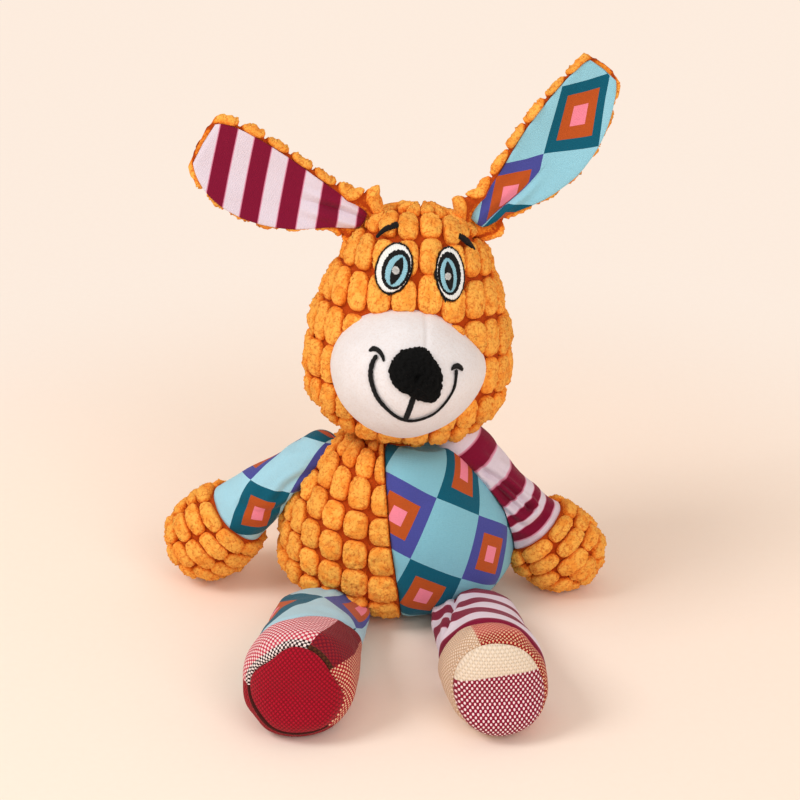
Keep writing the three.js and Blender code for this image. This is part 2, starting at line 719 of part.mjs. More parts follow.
function makeLeg(name, print, linen, soleCloth) {
  const frame = limbs[name];
  const form = stuffedForm({
    rows: legShares, length: legLength + legRootRadius, halfWidth: legHalfWidth, halfDepth: legHalfWidth,
    base: -legRootRadius, sides: limbSides, rings: limbRings,
  });
  const rooted = limbSolids(frame, form, legRoot, [-legLift, 0, legDrop]);
  const ground = moved(floor, frame.matrix.clone().invert());
  const outer = rooted(wovenThickness).subtract(rooted(0)).subtract(ground);
  const soleAlong = legLength - soleDepth;
  const cuffLength = soleAlong - footUpperLength;
  const stretches = [
    ['leg_cuff', -cutter / 2, cuffLength, print],
    ['foot_upper', cuffLength + seamGap, soleAlong, linen],
    ['sole', soleAlong + seamGap, cutter / 2, soleCloth],
  ];
  for (const [part, from, to, material] of stretches) {
    const piece = outer.intersect(blockBeyond('z', from, 1)).intersect(blockBeyond('z', to, -1));
    frame.add(pieceOf(name.replace('leg', part), piece, material));
  }
  frame.add(pieceOf(`${name}_wadding`, rooted(-seamGap), wadding));
}

makeBody();
makeHead();
makeMouth();
makeEye('right', rightEyeX, rightEyeTilt);
makeEye('left', leftEyeX, leftEyeTilt);
makeBrow('right', rightBrowX, rightBrowSlope);
makeBrow('left', leftBrowX, leftBrowSlope);
makeEar('right_ear', rightEarLength, stripedPrint, rightEarDroop, rightEarLift);
makeEar('left_ear', leftEarLength, argylePrint, leftEarDroop, leftEarLift);
makeArm('right_arm', rightArmLength, argylePrint);
makeArm('left_arm', leftArmLength, stripedPrint);
makeLeg('right_leg', argylePrint, linenPlaid, soleCrimson);
makeLeg('left_leg', stripedPrint, linenCream, soleCheck);

// The origin is the middle of the footprint, on the surface that the toy sits on
toy.updateMatrixWorld(true);
const extent = new THREE.Box3().setFromObject(toy, true);
const middle = extent.getCenter(new THREE.Vector3());
toy.position.set(-middle.x, -middle.y, -extent.min.z);

export default toy;
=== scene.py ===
# %% [markdown]
# # A squeaky plush dog toy, dressed in its cloth
#
# The toy is a sitting soft animal with long ears. Its solids come from the CAD model, and
# this lesson sews the cloth on: a kernel plush, printed cotton in diamonds and stripes,
# coarse linen on the feet, a short white pile on the muzzle, and embroidered eyes.
# Everything is in metres and in the frame of the CAD model. The toy faces -Y.

# %% Tools and the frame
import math
import json

import bmesh
import bpy
import numpy as np
from mathutils import Matrix, Vector


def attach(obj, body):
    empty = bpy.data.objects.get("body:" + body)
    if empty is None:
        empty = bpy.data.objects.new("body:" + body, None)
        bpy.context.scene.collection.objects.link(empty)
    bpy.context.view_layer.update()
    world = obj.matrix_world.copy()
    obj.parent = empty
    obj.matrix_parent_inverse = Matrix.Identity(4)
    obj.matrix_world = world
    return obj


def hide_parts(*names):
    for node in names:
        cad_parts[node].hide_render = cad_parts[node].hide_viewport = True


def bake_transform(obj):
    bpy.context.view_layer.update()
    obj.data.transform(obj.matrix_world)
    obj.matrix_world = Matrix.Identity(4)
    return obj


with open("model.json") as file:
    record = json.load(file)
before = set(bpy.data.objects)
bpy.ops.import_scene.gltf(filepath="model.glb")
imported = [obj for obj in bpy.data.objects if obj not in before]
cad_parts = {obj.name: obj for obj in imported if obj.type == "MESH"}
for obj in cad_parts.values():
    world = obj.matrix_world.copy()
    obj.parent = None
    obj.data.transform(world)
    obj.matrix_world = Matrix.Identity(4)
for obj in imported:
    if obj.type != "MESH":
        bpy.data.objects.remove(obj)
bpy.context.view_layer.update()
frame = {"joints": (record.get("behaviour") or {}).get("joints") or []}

mm = 0.001
degree = math.pi / 180
pivots = {joint["name"]: np.array(joint["pos_m"]) for joint in frame["joints"]}
neck_from_drawing = np.array([1, 2, 67]) * mm
drawing_shift = pivots["neck_turn"] - neck_from_drawing
print("shift of the drawing, mm:", np.round(drawing_shift / mm, 2))

# %% [markdown]
# ## The camera
#
# The photograph looks down on the toy by 25 degrees from a good distance. The lens is a
# long one, so the near feet aren't much larger than the ears. The camera is put where it
# stood, and aimed at a point in the middle of the toy.

# %% Camera
camera_tilt = 25 * degree
camera_distance = 1150 * mm
camera_aim = np.array([2, 0, 82]) * mm + drawing_shift
pixels_per_metre_at_aim = 2600
picture_pixels = 800
sensor_width = 36

look = np.array([0, math.cos(camera_tilt), -math.sin(camera_tilt)])
camera_data = bpy.data.cameras.new("camera")
camera_data.sensor_width = sensor_width
camera_data.lens = pixels_per_metre_at_aim * camera_distance / picture_pixels * sensor_width
camera = bpy.data.objects.new("camera", camera_data)
camera.location = Vector(camera_aim - look * camera_distance)
camera.rotation_mode = "QUATERNION"
camera.rotation_quaternion = Vector(look).to_track_quat("-Z", "Y")
bpy.context.scene.collection.objects.link(camera)
bpy.context.scene.camera = camera
print("lens in millimetres:", round(camera_data.lens, 2))

# %% [markdown]
# ## Light and floor
#
# The studio is a peach sweep of paper with a large soft lamp high on the viewer's left.
# A pale world fills the shadows, so that a colour renders about as it is written.

# %% Colours as they are seen


def seen(red, green, blue):
    """A colour given as it looks on a screen, 0 to 255, turned to linear light for a shader."""
    share = np.array([red, green, blue]) / 255
    linear = np.where(share <= 0.04045, share / 12.92, ((share + 0.055) / 1.055) ** 2.4)
    return (*linear.tolist(), 1.0)


# %% [markdown]
# Two square lamps stand in for a window and for the wall that sends its light back. The paper
# is one sheet of quads along a profile: a flat run, a quarter circle, and an upright.

# %% Light and floor
world = bpy.data.worlds.new("studio")
bpy.context.scene.world = world
world.use_nodes = True
world_fill = 0.64
world.node_tree.nodes["Background"].inputs["Color"].default_value = seen(255, 246, 236)
world.node_tree.nodes["Background"].inputs["Strength"].default_value = world_fill


def soft_lamp(name, place, size, power, colour):
    """A square lamp of that size at a place, aimed at the toy."""
    data = bpy.data.lights.new(name, "AREA")
    data.shape = "SQUARE"
    data.size = size
    data.energy = power
    data.color = colour[:3]
    lamp = bpy.data.objects.new(name, data)
    lamp.location = place
    lamp.rotation_mode = "QUATERNION"
    aim = Vector(camera_aim) - Vector(place)
    lamp.rotation_quaternion = aim.to_track_quat("-Z", "Y")
    bpy.context.scene.collection.objects.link(lamp)
    return lamp


window_place = (-1.1, -0.4, 1.25)
window_size = 0.7
fill_place = (0.75, -1.5, 1.05)
fill_size = 1.2
lamp_power = 11.5
soft_lamp("window", window_place, window_size, lamp_power, seen(253, 254, 255))
soft_lamp("fill", fill_place, fill_size, lamp_power, seen(253, 253, 255))

floor_reach = 3.0
floor_front = -2.4
floor_back = 0.9
floor_bend = 1.2
floor_rise = 2.4
across = np.linspace(-floor_reach, floor_reach, 3)
run = np.array([[floor_front, 0.0], [floor_back, 0.0]])
turn = np.linspace(0, math.pi / 2, 12)
bend = np.stack([floor_back + floor_bend * np.sin(turn), floor_bend * (1 - np.cos(turn))], 1)
profile = np.vstack([run, bend[1:], [[floor_back + floor_bend, floor_rise]]])
floor_points = np.array([[x, y, z] for y, z in profile for x in across])
floor_faces = [
    (r * 3 + c, r * 3 + c + 1, r * 3 + c + 4, r * 3 + c + 3)
    for r in range(len(profile) - 1)
    for c in range(2)
]
floor_mesh = bpy.data.meshes.new("paper_sweep")
floor_mesh.from_pydata(floor_points.tolist(), [], floor_faces)
floor_mesh.shade_smooth()
floor_sheet = bpy.data.objects.new("paper_sweep", floor_mesh)
bpy.context.scene.collection.objects.link(floor_sheet)

# %% [markdown]
# ## Small helpers for shaders
#
# Each finish is a small tree of nodes. These helpers add one node at a time, and take
# either a number or another node's output for each input.

# %% Shader helpers


def wire(tree, socket, value):
    """Puts a number, a colour or another node's output into a socket."""
    if value is None:
        return
    if isinstance(value, bpy.types.NodeSocket):
        tree.links.new(value, socket)
    else:
        socket.default_value = value


def calc(tree, operation, first, second=None, third=None):
    """One sum of a Math node."""
    node = tree.nodes.new("ShaderNodeMath")
    node.operation = operation
    for socket, value in zip(node.inputs, (first, second, third)):
        wire(tree, socket, value)
    return node.outputs[0]


def times(tree, first, second):
    """The first value times the second."""
    return calc(tree, "MULTIPLY", first, second)


def plus(tree, first, second):
    """The first value plus the second."""
    return calc(tree, "ADD", first, second)


def minus(tree, first, second):
    """The first value less the second."""
    return calc(tree, "SUBTRACT", first, second)


def above(tree, first, second):
    """1 where the first value is greater than the second, and 0 elsewhere."""
    return calc(tree, "GREATER_THAN", first, second)


def below(tree, first, second):
    """1 where the first value is less than the second, and 0 elsewhere."""
    return calc(tree, "LESS_THAN", first, second)


# %% Colours and patterns


def mixed(tree, share, first, second, mode="MIX"):
    """One colour turned into another by a share from 0 to 1."""
    node = tree.nodes.new("ShaderNodeMix")
    node.data_type = "RGBA"
    node.blend_type = mode
    wire(tree, node.inputs[0], share)
    wire(tree, node.inputs[6], first)
    wire(tree, node.inputs[7], second)
    return node.outputs[2]


def ramped(tree, value, low, high):
    """A smooth step of a value, 0 below low and 1 above high."""
    node = tree.nodes.new("ShaderNodeMapRange")
    node.interpolation_type = "SMOOTHSTEP"
    wire(tree, node.inputs["Value"], value)
    node.inputs["From Min"].default_value = low
    node.inputs["From Max"].default_value = high
    return node.outputs[0]


def own_place(tree):
    """The place on the piece in its own coordinates, in metres."""
    return tree.nodes.new("ShaderNodeTexCoord").outputs["Object"]


def speckle(tree, size, detail=2.0, roughness=0.6):
    """Noise whose grains are about that size, in metres, on the piece's own coordinates."""
    node = tree.nodes.new("ShaderNodeTexNoise")
    wire(tree, node.inputs["Vector"], own_place(tree))
    node.inputs["Scale"].default_value = 1 / size
    node.inputs["Detail"].default_value = detail
    node.inputs["Roughness"].default_value = roughness
    return node.outputs["Fac"]


def tufted(tree, size):
    """How far each place is from the nearest tuft's middle, 0 to about 1, for tufts that size."""
    node = tree.nodes.new("ShaderNodeTexVoronoi")
    wire(tree, node.inputs["Vector"], own_place(tree))
    node.inputs["Scale"].default_value = 1 / size
    return node.outputs["Distance"]


def measured(tree, name):
    """A value kept on the piece's own points."""
    node = tree.nodes.new("ShaderNodeAttribute")
    node.attribute_type = "GEOMETRY"
    node.attribute_name = name
    return node.outputs["Fac"]


def cloth_place(tree):
    """The place on the flat cloth, in metres: its run across and its run along."""
    node = tree.nodes.new("ShaderNodeUVMap")
    node.uv_map = "cloth"
    split = tree.nodes.new("ShaderNodeSeparateXYZ")
    wire(tree, split.inputs[0], node.outputs[0])
    return split.outputs[0], split.outputs[1]


def raised(tree, height, depth):
    """A bump of that depth, in metres."""
    node = tree.nodes.new("ShaderNodeBump")
    node.inputs["Distance"].default_value = depth
    wire(tree, node.inputs["Height"], height)
    return node.outputs[0]


# %% A finish and its main inputs


def new_finish(name, roughness, sheen=0.0, sheen_colour=(1, 1, 1, 1), sheen_roughness=0.5):
    """An empty finish: its material, its node tree and its main shader."""
    finish = bpy.data.materials.new(name)
    finish.use_nodes = True
    tree = finish.node_tree
    shader = tree.nodes["Principled BSDF"]
    shader.inputs["Roughness"].default_value = roughness
    shader.inputs["Sheen Weight"].default_value = sheen
    shader.inputs["Sheen Tint"].default_value = sheen_colour
    shader.inputs["Sheen Roughness"].default_value = sheen_roughness
    shader.inputs["Specular IOR Level"].default_value = 0.2
    return finish, tree, shader


def painted(tree, shader, colour, bump):
    """Gives a finish's main shader its colour and its bump."""
    wire(tree, shader.inputs["Base Color"], colour)
    wire(tree, shader.inputs["Normal"], bump)


def ribs(tree, place, pitch):
    """The sine of a place, which comes back to the same value after each pitch."""
    return calc(tree, "SINE", times(tree, place, 2 * math.pi / pitch))


# %% [markdown]
# The paper is a pale peach. Near the toy it is plain paper, so that it takes the shadow. A
# little further off the camera sees it lit evenly, as a well lit sweep looks in a studio.

# %% Paper of the sweep
paper_near = 170 * mm
paper_far = 380 * mm
paper, paper_tree, paper_shader = new_finish("peach_paper", 0.9)
paper_grain = speckle(paper_tree, 3 * mm)
paper_colour = mixed(paper_tree, paper_grain, seen(253, 235, 220), seen(254, 238, 224))
wire(paper_tree, paper_shader.inputs["Base Color"], paper_colour)
away = paper_tree.nodes.new("ShaderNodeVectorMath")
away.operation = "DISTANCE"
wire(paper_tree, away.inputs[0], own_place(paper_tree))
far_share = ramped(paper_tree, away.outputs["Value"], paper_near, paper_far)
by_camera = paper_tree.nodes.new("ShaderNodeLightPath").outputs["Is Camera Ray"]
even_paper = paper_tree.nodes.new("ShaderNodeEmission")
wire(paper_tree, even_paper.inputs["Color"], paper_colour)
paper_mix = paper_tree.nodes.new("ShaderNodeMixShader")
wire(paper_tree, paper_mix.inputs[0], times(paper_tree, far_share, by_camera))
wire(paper_tree, paper_mix.inputs[1], paper_shader.outputs[0])
wire(paper_tree, paper_mix.inputs[2], even_paper.outputs[0])
wire(paper_tree, paper_tree.nodes["Material Output"].inputs["Surface"], paper_mix.outputs[0])
floor_mesh.materials.append(paper)
print("paper sweep:", len(floor_faces), "faces in", paper.name)

# %% [markdown]
# ## Finishes
#
# Kernel plush is a long-pile cloth whose pile stands up in rows of kernels. Its ground is
# a deeper orange than the tips, because less light gets down to it. The height of the pile
# is kept on the mesh, and the colour follows it: painted light on the tips, and painted shade
# on the sides, on the ground and in the gaps between tufts.

# %% Kernel plush


def plush_finish(name, tip, side, ground, deep, sheen):
    """Colour from the height of the pile, broken up by tufts in two sizes and their gaps.

    The tips get painted light, and the sides, the ground and the gaps get painted shade.
    """
    finish, tree, shader = new_finish(name, 1.0, sheen, tip, 0.35)
    pile = measured(tree, "pile")
    tone = measured(tree, "tone")
    near = tufted(tree, 1.25 * mm)
    fine = tufted(tree, 0.62 * mm)
    lie = speckle(tree, 4.5 * mm, 2.0, 0.5)
    gap = plus(tree, times(tree, near, 0.6), times(tree, fine, 0.5))
    uneven = calc(tree, "MULTIPLY_ADD", minus(tree, 0.5, gap), 0.4, pile)
    # Painted light and shade on each kernel: the tip colour high on the pile, the side colour low.
    colour = mixed(tree, ramped(tree, uneven, 0.22, 0.78), side, tip)
    brushed_away = times(tree, ramped(tree, lie, 0.46, 0.64), 0.55)
    colour = mixed(tree, brushed_away, colour, side)
    # Painted shade in the gaps between tufts, in the deep colour.
    dark = times(tree, ramped(tree, gap, 0.52, 0.84), 0.6)
    colour = mixed(tree, dark, colour, deep)
    # Painted shade on the ground, where the pile is lowest.
    colour = mixed(tree, ramped(tree, uneven, 0.02, 0.3), ground, colour)
    colour = mixed(tree, 1.0, colour, tone, "MULTIPLY")
    tufts = minus(tree, 1.0, gap)
    painted(tree, shader, colour, raised(tree, tufts, 0.32 * mm))
    return finish


# Tip and side are the painted light and shade of a kernel; ground and deep are painted shade.
orange_plush = plush_finish(
    "orange_plush", tip=seen(255, 182, 80), side=seen(246, 136, 36), ground=seen(182, 68, 12),
    deep=seen(206, 86, 18), sheen=0.3,
)
black_plush = plush_finish(
    "black_plush", tip=seen(10, 10, 10), side=seen(6, 6, 6), ground=seen(3, 3, 3),
    deep=seen(4, 4, 4), sheen=0.0,
)
print("plush:", orange_plush.name, "and", black_plush.name)

# %% [markdown]
# The printed cloths are a light brushed weave. A print is a pattern on the flat cloth, so it
# is worked out from the piece's own map of the cloth, in metres. The diamonds are a slanted
# lattice: every second cell is plain, and the others hold three nested diamonds.

# %% Printed cloths
cloth_yarn = 0.5 * mm
no_end = 99
teal = seen(4, 92, 116)
violet = seen(74, 78, 158)
rust = seen(190, 84, 30)
rose = seen(246, 138, 160)
lilac_white = seen(230, 217, 230)
burgundy = seen(130, 10, 50)
line_pink = seen(224, 140, 170)


def brushed(tree, across, along, colour):
    """Fine ribs and a soft unevenness over a printed colour, and their bump."""
    rib = ribs(tree, across, cloth_yarn)
    rib_across = ribs(tree, along, 1.6 * cloth_yarn)
    woven = plus(tree, times(tree, rib, 0.6), times(tree, rib_across, 0.4))
    fuzz = speckle(tree, 0.7 * mm, 3.0, 0.7)
    uneven = plus(tree, times(tree, woven, 0.05), times(tree, fuzz, 0.5))
    shade = calc(tree, "MULTIPLY_ADD", uneven, 0.28, 0.87)
    height = plus(tree, times(tree, woven, 0.3), fuzz)
    return mixed(tree, 1.0, colour, shade, "MULTIPLY"), raised(tree, height, 0.12 * mm)


# %% Diamonds


def diamond_finish(
    name, corner, run_a, run_b, odd_first, plain, last_b=no_end, brown_share=0.58, pink_share=0.25
):
    """A lattice of diamonds from one corner and two edges, each (across, along) in metres.

    The plain colour is given for each piece, with that piece's painted light and shade.
    """
    finish, tree, shader = new_finish(name, 0.95, 0.12, seen(230, 240, 245), 0.5)
    across, along = cloth_place(tree)
    area = run_a[0] * run_b[1] - run_a[1] * run_b[0]
    x = minus(tree, across, corner[0])
    y = minus(tree, along, corner[1])
    share_a = plus(tree, times(tree, x, run_b[1] / area), times(tree, y, -run_b[0] / area))
    share_b = plus(tree, times(tree, x, -run_a[1] / area), times(tree, y, run_a[0] / area))
    cell_a = calc(tree, "FLOOR", share_a)
    cell_b = calc(tree, "FLOOR", share_b)
    odd = calc(tree, "FLOORED_MODULO", plus(tree, plus(tree, cell_a, cell_b), odd_first), 2)
    odd = times(tree, odd, below(tree, share_b, last_b))
    second = calc(tree, "FLOORED_MODULO", cell_a, 2)
    from_a = calc(tree, "ABSOLUTE", minus(tree, minus(tree, share_a, cell_a), 0.5))
    from_b = calc(tree, "ABSOLUTE", minus(tree, minus(tree, share_b, cell_b), 0.5))
    out = times(tree, calc(tree, "MAXIMUM", from_a, from_b), 2)
    ring = mixed(tree, second, teal, violet)
    nested = mixed(tree, below(tree, out, brown_share), ring, rust)
    nested = mixed(tree, below(tree, out, pink_share), nested, rose)
    colour = mixed(tree, above(tree, odd, 0.5), plain, nested)
    painted(tree, shader, *brushed(tree, across, along, colour))
    return finish


# %% Stripes


def stripe_finish(name, pitch, start, slant, dark_share, last=no_end):
    """Burgundy bands on lilac white, with a fine pink line at each edge.

    Slant is how far a band drifts along for each metre across, and last is where bands end.
    """
    finish, tree, shader = new_finish(name, 0.95, 0.12, seen(240, 225, 235), 0.5)
    across, along = cloth_place(tree)
    place = calc(tree, "MULTIPLY_ADD", across, slant / pitch, -start / pitch)
    place = calc(tree, "MULTIPLY_ADD", along, 1 / pitch, place)
    share = calc(tree, "FRACT", place)
    before_last = below(tree, place, last)
    band = times(tree, below(tree, share, dark_share), before_last)
    to_start = calc(tree, "MINIMUM", share, minus(tree, 1.0, share))
    to_end = calc(tree, "ABSOLUTE", minus(tree, share, dark_share))
    edge = ramped(tree, calc(tree, "MINIMUM", to_start, to_end), 0.3 * mm / pitch, 0.2 * mm / pitch)
    edge = times(tree, times(tree, edge, before_last), 0.75)
    colour = mixed(tree, band, lilac_white, burgundy)
    colour = mixed(tree, edge, colour, line_pink)
    painted(tree, shader, *brushed(tree, across, along, colour))
    return finish


# %% [markdown]
# ## Stuffed forms
#
# The body, the head, the arms and the legs are all the same kind of shape: oval rings up
# an axis, with the share of the width and of the depth at a few heights, and a smooth line
# through them. A point is found from its run along the form and its turn round it.

# %% Outlines
body_shares = [
    [0, 0, 0], [0.02, 0.52, 0.5], [0.09, 0.83, 0.83], [0.22, 0.985, 0.98], [0.38, 1, 1],
    [0.56, 0.95, 0.96], [0.72, 0.83, 0.86], [0.86, 0.66, 0.7], [0.96, 0.4, 0.45], [1, 0, 0],
]
head_shares = [
    [0, 0, 0], [0.02, 0.5, 0.5], [0.09, 0.79, 0.79], [0.21, 0.96, 0.96], [0.36, 1, 1],
    [0.52, 0.95, 0.96], [0.68, 0.83, 0.86], [0.83, 0.66, 0.7], [0.95, 0.42, 0.44], [1, 0, 0],
]
arm_shares = [
    [0, 0, 0], [0.03, 0.36, 0.36], [0.1, 0.5, 0.5], [0.26, 0.6, 0.6], [0.42, 0.74, 0.74],
    [0.57, 0.82, 0.82], [0.66, 0.93, 0.93], [0.8, 1, 1], [0.93, 0.74, 0.74], [1, 0, 0],
]
leg_shares = [
    [0, 0, 0], [0.03, 0.5, 0.34], [0.12, 0.72, 0.46], [0.3, 0.8, 0.62], [0.5, 0.87, 0.8],
    [0.66, 0.95, 0.95], [0.81, 1, 1], [0.93, 0.9, 0.9], [0.98, 0.6, 0.6], [1, 0, 0],
]
ear_shares = [
    [0, 0, 1], [0.04, 0.28, 1], [0.16, 0.46, 1], [0.34, 0.76, 1], [0.52, 0.95, 1],
    [0.7, 1, 1], [0.85, 0.88, 1], [0.95, 0.58, 1], [1, 0, 1],
]


print("rows in the body's outline:", len(body_shares))


def between(rows, start, f):
    """A smooth line at a share f of the way from the second to the third of four rows.

    It is the cubic through those two whose slope at each is half the step between the rows
    beside it.
    """
    a, b, c, d = (rows[start + k] for k in range(4))
    return 0.5 * (
        2 * b + (c - a) * f + (2 * a - 5 * b + 4 * c - d) * f**2 + (3 * b - a - 3 * c + d) * f**3
    )


def unit(ways):
    """The same directions, at length 1."""
    return ways / np.linalg.norm(ways, axis=-1, keepdims=True)


def full_turn(count):
    """That many turns, evenly all the way round."""
    return np.linspace(0, 2 * math.pi, count, endpoint=False)


def outline_at(rows, place):
    """A smooth line through the rows. Past either end the widths come back with their signs turned."""
    rows = np.asarray(rows, float)
    last = len(rows) - 1
    turned = np.array([1, -1, -1])
    padded = np.vstack([rows[1] * turned, rows, rows[last - 1] * turned])
    place = np.clip(place, 0, last)
    start = np.minimum(np.floor(place).astype(int), last - 1)
    return between(padded, start, (place - start)[..., None])


# %% A form of oval rings


def stuffed_form(rows, length, half_width, half_depth, base=0.0, centre_x=0.0):
    """A form of oval rings: a point is (centre + width x sine, -depth x cosine, height) of the turn.

    Turn 0 looks to -Y and a quarter turn to +X. The run along is measured on the front line.
    """
    last = len(rows) - 1

    def bare(place, turn):
        """The point of the skin at a place among the rows and a turn."""
        along, wide, deep = np.moveaxis(outline_at(rows, place), -1, 0)
        x = centre_x + wide * half_width * np.sin(turn)
        y = -deep * half_depth * np.cos(turn)
        return np.stack([x, y, base + along * length], -1)

    fine = np.linspace(0, last, 900)
    front = bare(fine, 0 * fine)
    runs = np.concatenate([[0], np.cumsum(np.linalg.norm(np.diff(front, axis=0), axis=1))])

    def surface(run, turn, growth=0.0):
        """Points at a run and a turn, pushed out along the surface by the growth."""
        run, turn = np.broadcast_arrays(np.asarray(run, float), np.asarray(turn, float))
        place = np.interp(run, runs, fine)
        points = bare(place, turn)
        inner = np.clip(place, 0.02, last - 0.02)
        step = 0.01
        up = bare(inner + step, turn) - bare(inner - step, turn)
        round_ = bare(inner, turn + step) - bare(inner, turn - step)
        normal = unit(np.cross(round_, up))
        pole = np.stack([0 * run, 0 * run, np.where(place < last / 2, -1.0, 1.0)], -1)
        near = np.clip(np.minimum(place, last - place) / 0.35, 0, 1)[..., None]
        normal = unit(normal * near + pole * (1 - near))
        return points + normal * np.asarray(growth)[..., None], normal

    def girth(run):
        """The ring's mean radius at a run."""
        _, wide, deep = np.moveaxis(outline_at(rows, np.interp(run, runs, fine)), -1, 0)
        return np.abs(wide * half_width + deep * half_depth) / 2

    def depth_inside(points, growth=0.0):
        """How far along its own radius each point is, from the axis 0 to the skin 1."""
        table = outline_at(rows, fine)
        height = (points[..., 2] - base) / length
        wide = np.interp(height, table[:, 0], table[:, 1]) * half_width + growth
        deep = np.interp(height, table[:, 0], table[:, 2]) * half_depth + growth
        return np.hypot((points[..., 0] - centre_x) / wide, points[..., 1] / deep)

    def run_at(height):
        """The run along the front line where the form reaches a height."""
        return np.interp(height, front[:, 2], runs)

    def width_at(run):
        """The ring's half width at a run."""
        return np.abs(outline_at(rows, np.interp(run, runs, fine))[..., 1]) * half_width

    def height_at(run):
        """The height of the form at a run."""
        return np.interp(run, runs, front[:, 2])

    surface.total = runs[-1]
    surface.width_at = width_at
    surface.height_at = height_at
    surface.girth = girth
    surface.inside = depth_inside
    surface.run_at = run_at
    surface.centre_x = centre_x
    return surface


# %% [markdown]
# The forms have the sizes of the solids, so that the cloth lies where the solids are. Each
# part has a frame of its own: the head's is tilted, a limb's runs along it from its hinge, and
# an ear's from its root to its tip. Shapes are worked out there and then put in their places.

# %% Sizes of the forms, as in the CAD model
floor_flat = 0.5 * mm
body_height = 65 * mm
body_half_width = 46 * mm
body_half_depth = 40 * mm
body_centre_x = 0.5 * mm
body_form = stuffed_form(
    body_shares, body_height + floor_flat, body_half_width, body_half_depth,
    base=-floor_flat, centre_x=body_centre_x,
)
head_height = 92 * mm
head_half_width = 40.4 * mm
head_half_depth = 37 * mm
head_base = -1 * mm
head_centre_x = 1.5 * mm
head_form = stuffed_form(
    head_shares, head_height, head_half_width, head_half_depth,
    base=head_base, centre_x=head_centre_x,
)
arm_half_width = 14.4 * mm
arm_root = 7.6 * mm
leg_half_width = 17.8 * mm
leg_root = 7.4 * mm
leg_length = 83 * mm
arm_lengths = {"right": 69.5 * mm, "left": 64.5 * mm}
hand_places = {"right": np.array([-74, 8, 18.5]) * mm, "left": np.array([66, 2, 18.5]) * mm}
sole_places = {"right": np.array([-38, -114, 20.4]) * mm, "left": np.array([38.5, -114, 20.4]) * mm}


# %% Places of the parts


def turned(x=0.0, y=0.0, z=0.0):
    """A turn about X, then Y, then Z."""
    return np.array(
        Matrix.Rotation(z, 3, "Z") @ Matrix.Rotation(y, 3, "Y") @ Matrix.Rotation(x, 3, "X")
    )


def limb_axes(pivot, target):
    """The three axes of a limb: level and square to it, the third, and along it."""
    along = target - pivot
    along /= np.linalg.norm(along)
    level = np.cross([0, 0, 1], along)
    level /= np.linalg.norm(level)
    return np.stack([level, np.cross(along, level), along], 1)


head_axes = turned(-10 * degree, 5.5 * degree, 3 * degree)
places = {
    "body": (np.eye(3), drawing_shift),
    "head": (head_axes, pivots["neck_turn"]),
}
for side in ("right", "left"):
    shoulder = pivots[side + "_shoulder_swing"]
    hip = pivots[side + "_hip_swing"]
    places[side + "_arm"] = (limb_axes(shoulder, hand_places[side] + drawing_shift), shoulder)
    places[side + "_leg"] = (limb_axes(hip, sole_places[side] + drawing_shift), hip)
places["right_ear"] = (head_axes @ turned(y=-64.5 * degree), pivots["right_ear_flop"])
places["left_ear"] = (head_axes @ turned(y=34 * degree), pivots["left_ear_flop"])


print("parts with a frame of their own:", sorted(places))


def put(points, part):
    """Points of a part's own frame, in the frame of the toy."""
    axes, origin = places[part]
    return points @ axes.T + origin


# %% [markdown]
# ## Meshes from grids
#
# Each cloth is one grid of points. Where two sides of the grid meet they share their points,
# and where a row shrinks to one point it becomes a pole. The helper below also keeps the
# map of the cloth and any values on the points, and turns the faces outwards.

# %% Mesh helper
merge_gap = 0.004 * mm
sliver_gap = 0.003 * mm


def sewn(name, points, finish, closed=True, cloth=None, values=None, body=None):
    """A mesh of one quad between each four neighbours of a grid, rows by columns."""
    rows, columns = points.shape[:2]
    index = np.arange(rows * columns).reshape(rows, columns)
    if closed:
        index = np.concatenate([index, index[:, :1]], 1)
    corners = np.stack([index[:-1, :-1], index[:-1, 1:], index[1:, 1:], index[1:, :-1]], -1)
    flat = points.reshape(-1, 3)
    faces = corners.reshape(-1, 4)
    p = flat[faces]
    volume = np.einsum("ij,ij->i", p[:, 0], np.cross(p[:, 1], p[:, 2])).sum()
    volume += np.einsum("ij,ij->i", p[:, 0], np.cross(p[:, 2], p[:, 3])).sum()
    mesh = bpy.data.meshes.new(name)
    turned_in = volume < 0
    faces = faces[:, ::-1] if turned_in else faces
    mesh.from_pydata(flat.tolist(), [], faces.tolist())
    if cloth is not None:
        run = np.broadcast_to(cloth, (rows, index.shape[1], 2)).reshape(-1, 2)
        grid = np.arange(rows * index.shape[1]).reshape(rows, -1)
        uv_corner = np.stack([grid[:-1, :-1], grid[:-1, 1:], grid[1:, 1:], grid[1:, :-1]], -1)
        uv_corner = uv_corner.reshape(-1, 4)
        uv_corner = uv_corner[:, ::-1] if turned_in else uv_corner
        layer = mesh.uv_layers.new(name="cloth")
        layer.data.foreach_set("uv", run[uv_corner.ravel()].ravel())
    for key, value in (values or {}).items():
        kept = mesh.attributes.new(key, "FLOAT", "POINT")
        kept.data.foreach_set("value", np.broadcast_to(value, (rows, columns)).ravel())
    shape = bmesh.new()
    shape.from_mesh(mesh)
    bmesh.ops.remove_doubles(shape, verts=shape.verts, dist=merge_gap)
    bmesh.ops.dissolve_degenerate(shape, edges=shape.edges, dist=sliver_gap)
    shape.to_mesh(mesh)
    shape.free()
    mesh.shade_smooth()
    mesh.materials.append(finish)
    piece = bpy.data.objects.new(name, mesh)
    bpy.context.scene.collection.objects.link(piece)
    if body:
        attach(piece, body)
    print(name, len(mesh.polygons), "faces")
    return piece


# %% Closed ends and soft lumps


def capped(points, cloth):
    """Rings of points closed at both ends by their own middles, and the map of their cloth."""
    first = points[:1].mean(1, keepdims=True) + 0 * points[:1]
    last = points[-1:].mean(1, keepdims=True) + 0 * points[-1:]
    return np.concatenate([first, points, last]), np.concatenate([cloth[:1], cloth, cloth[-1:]])


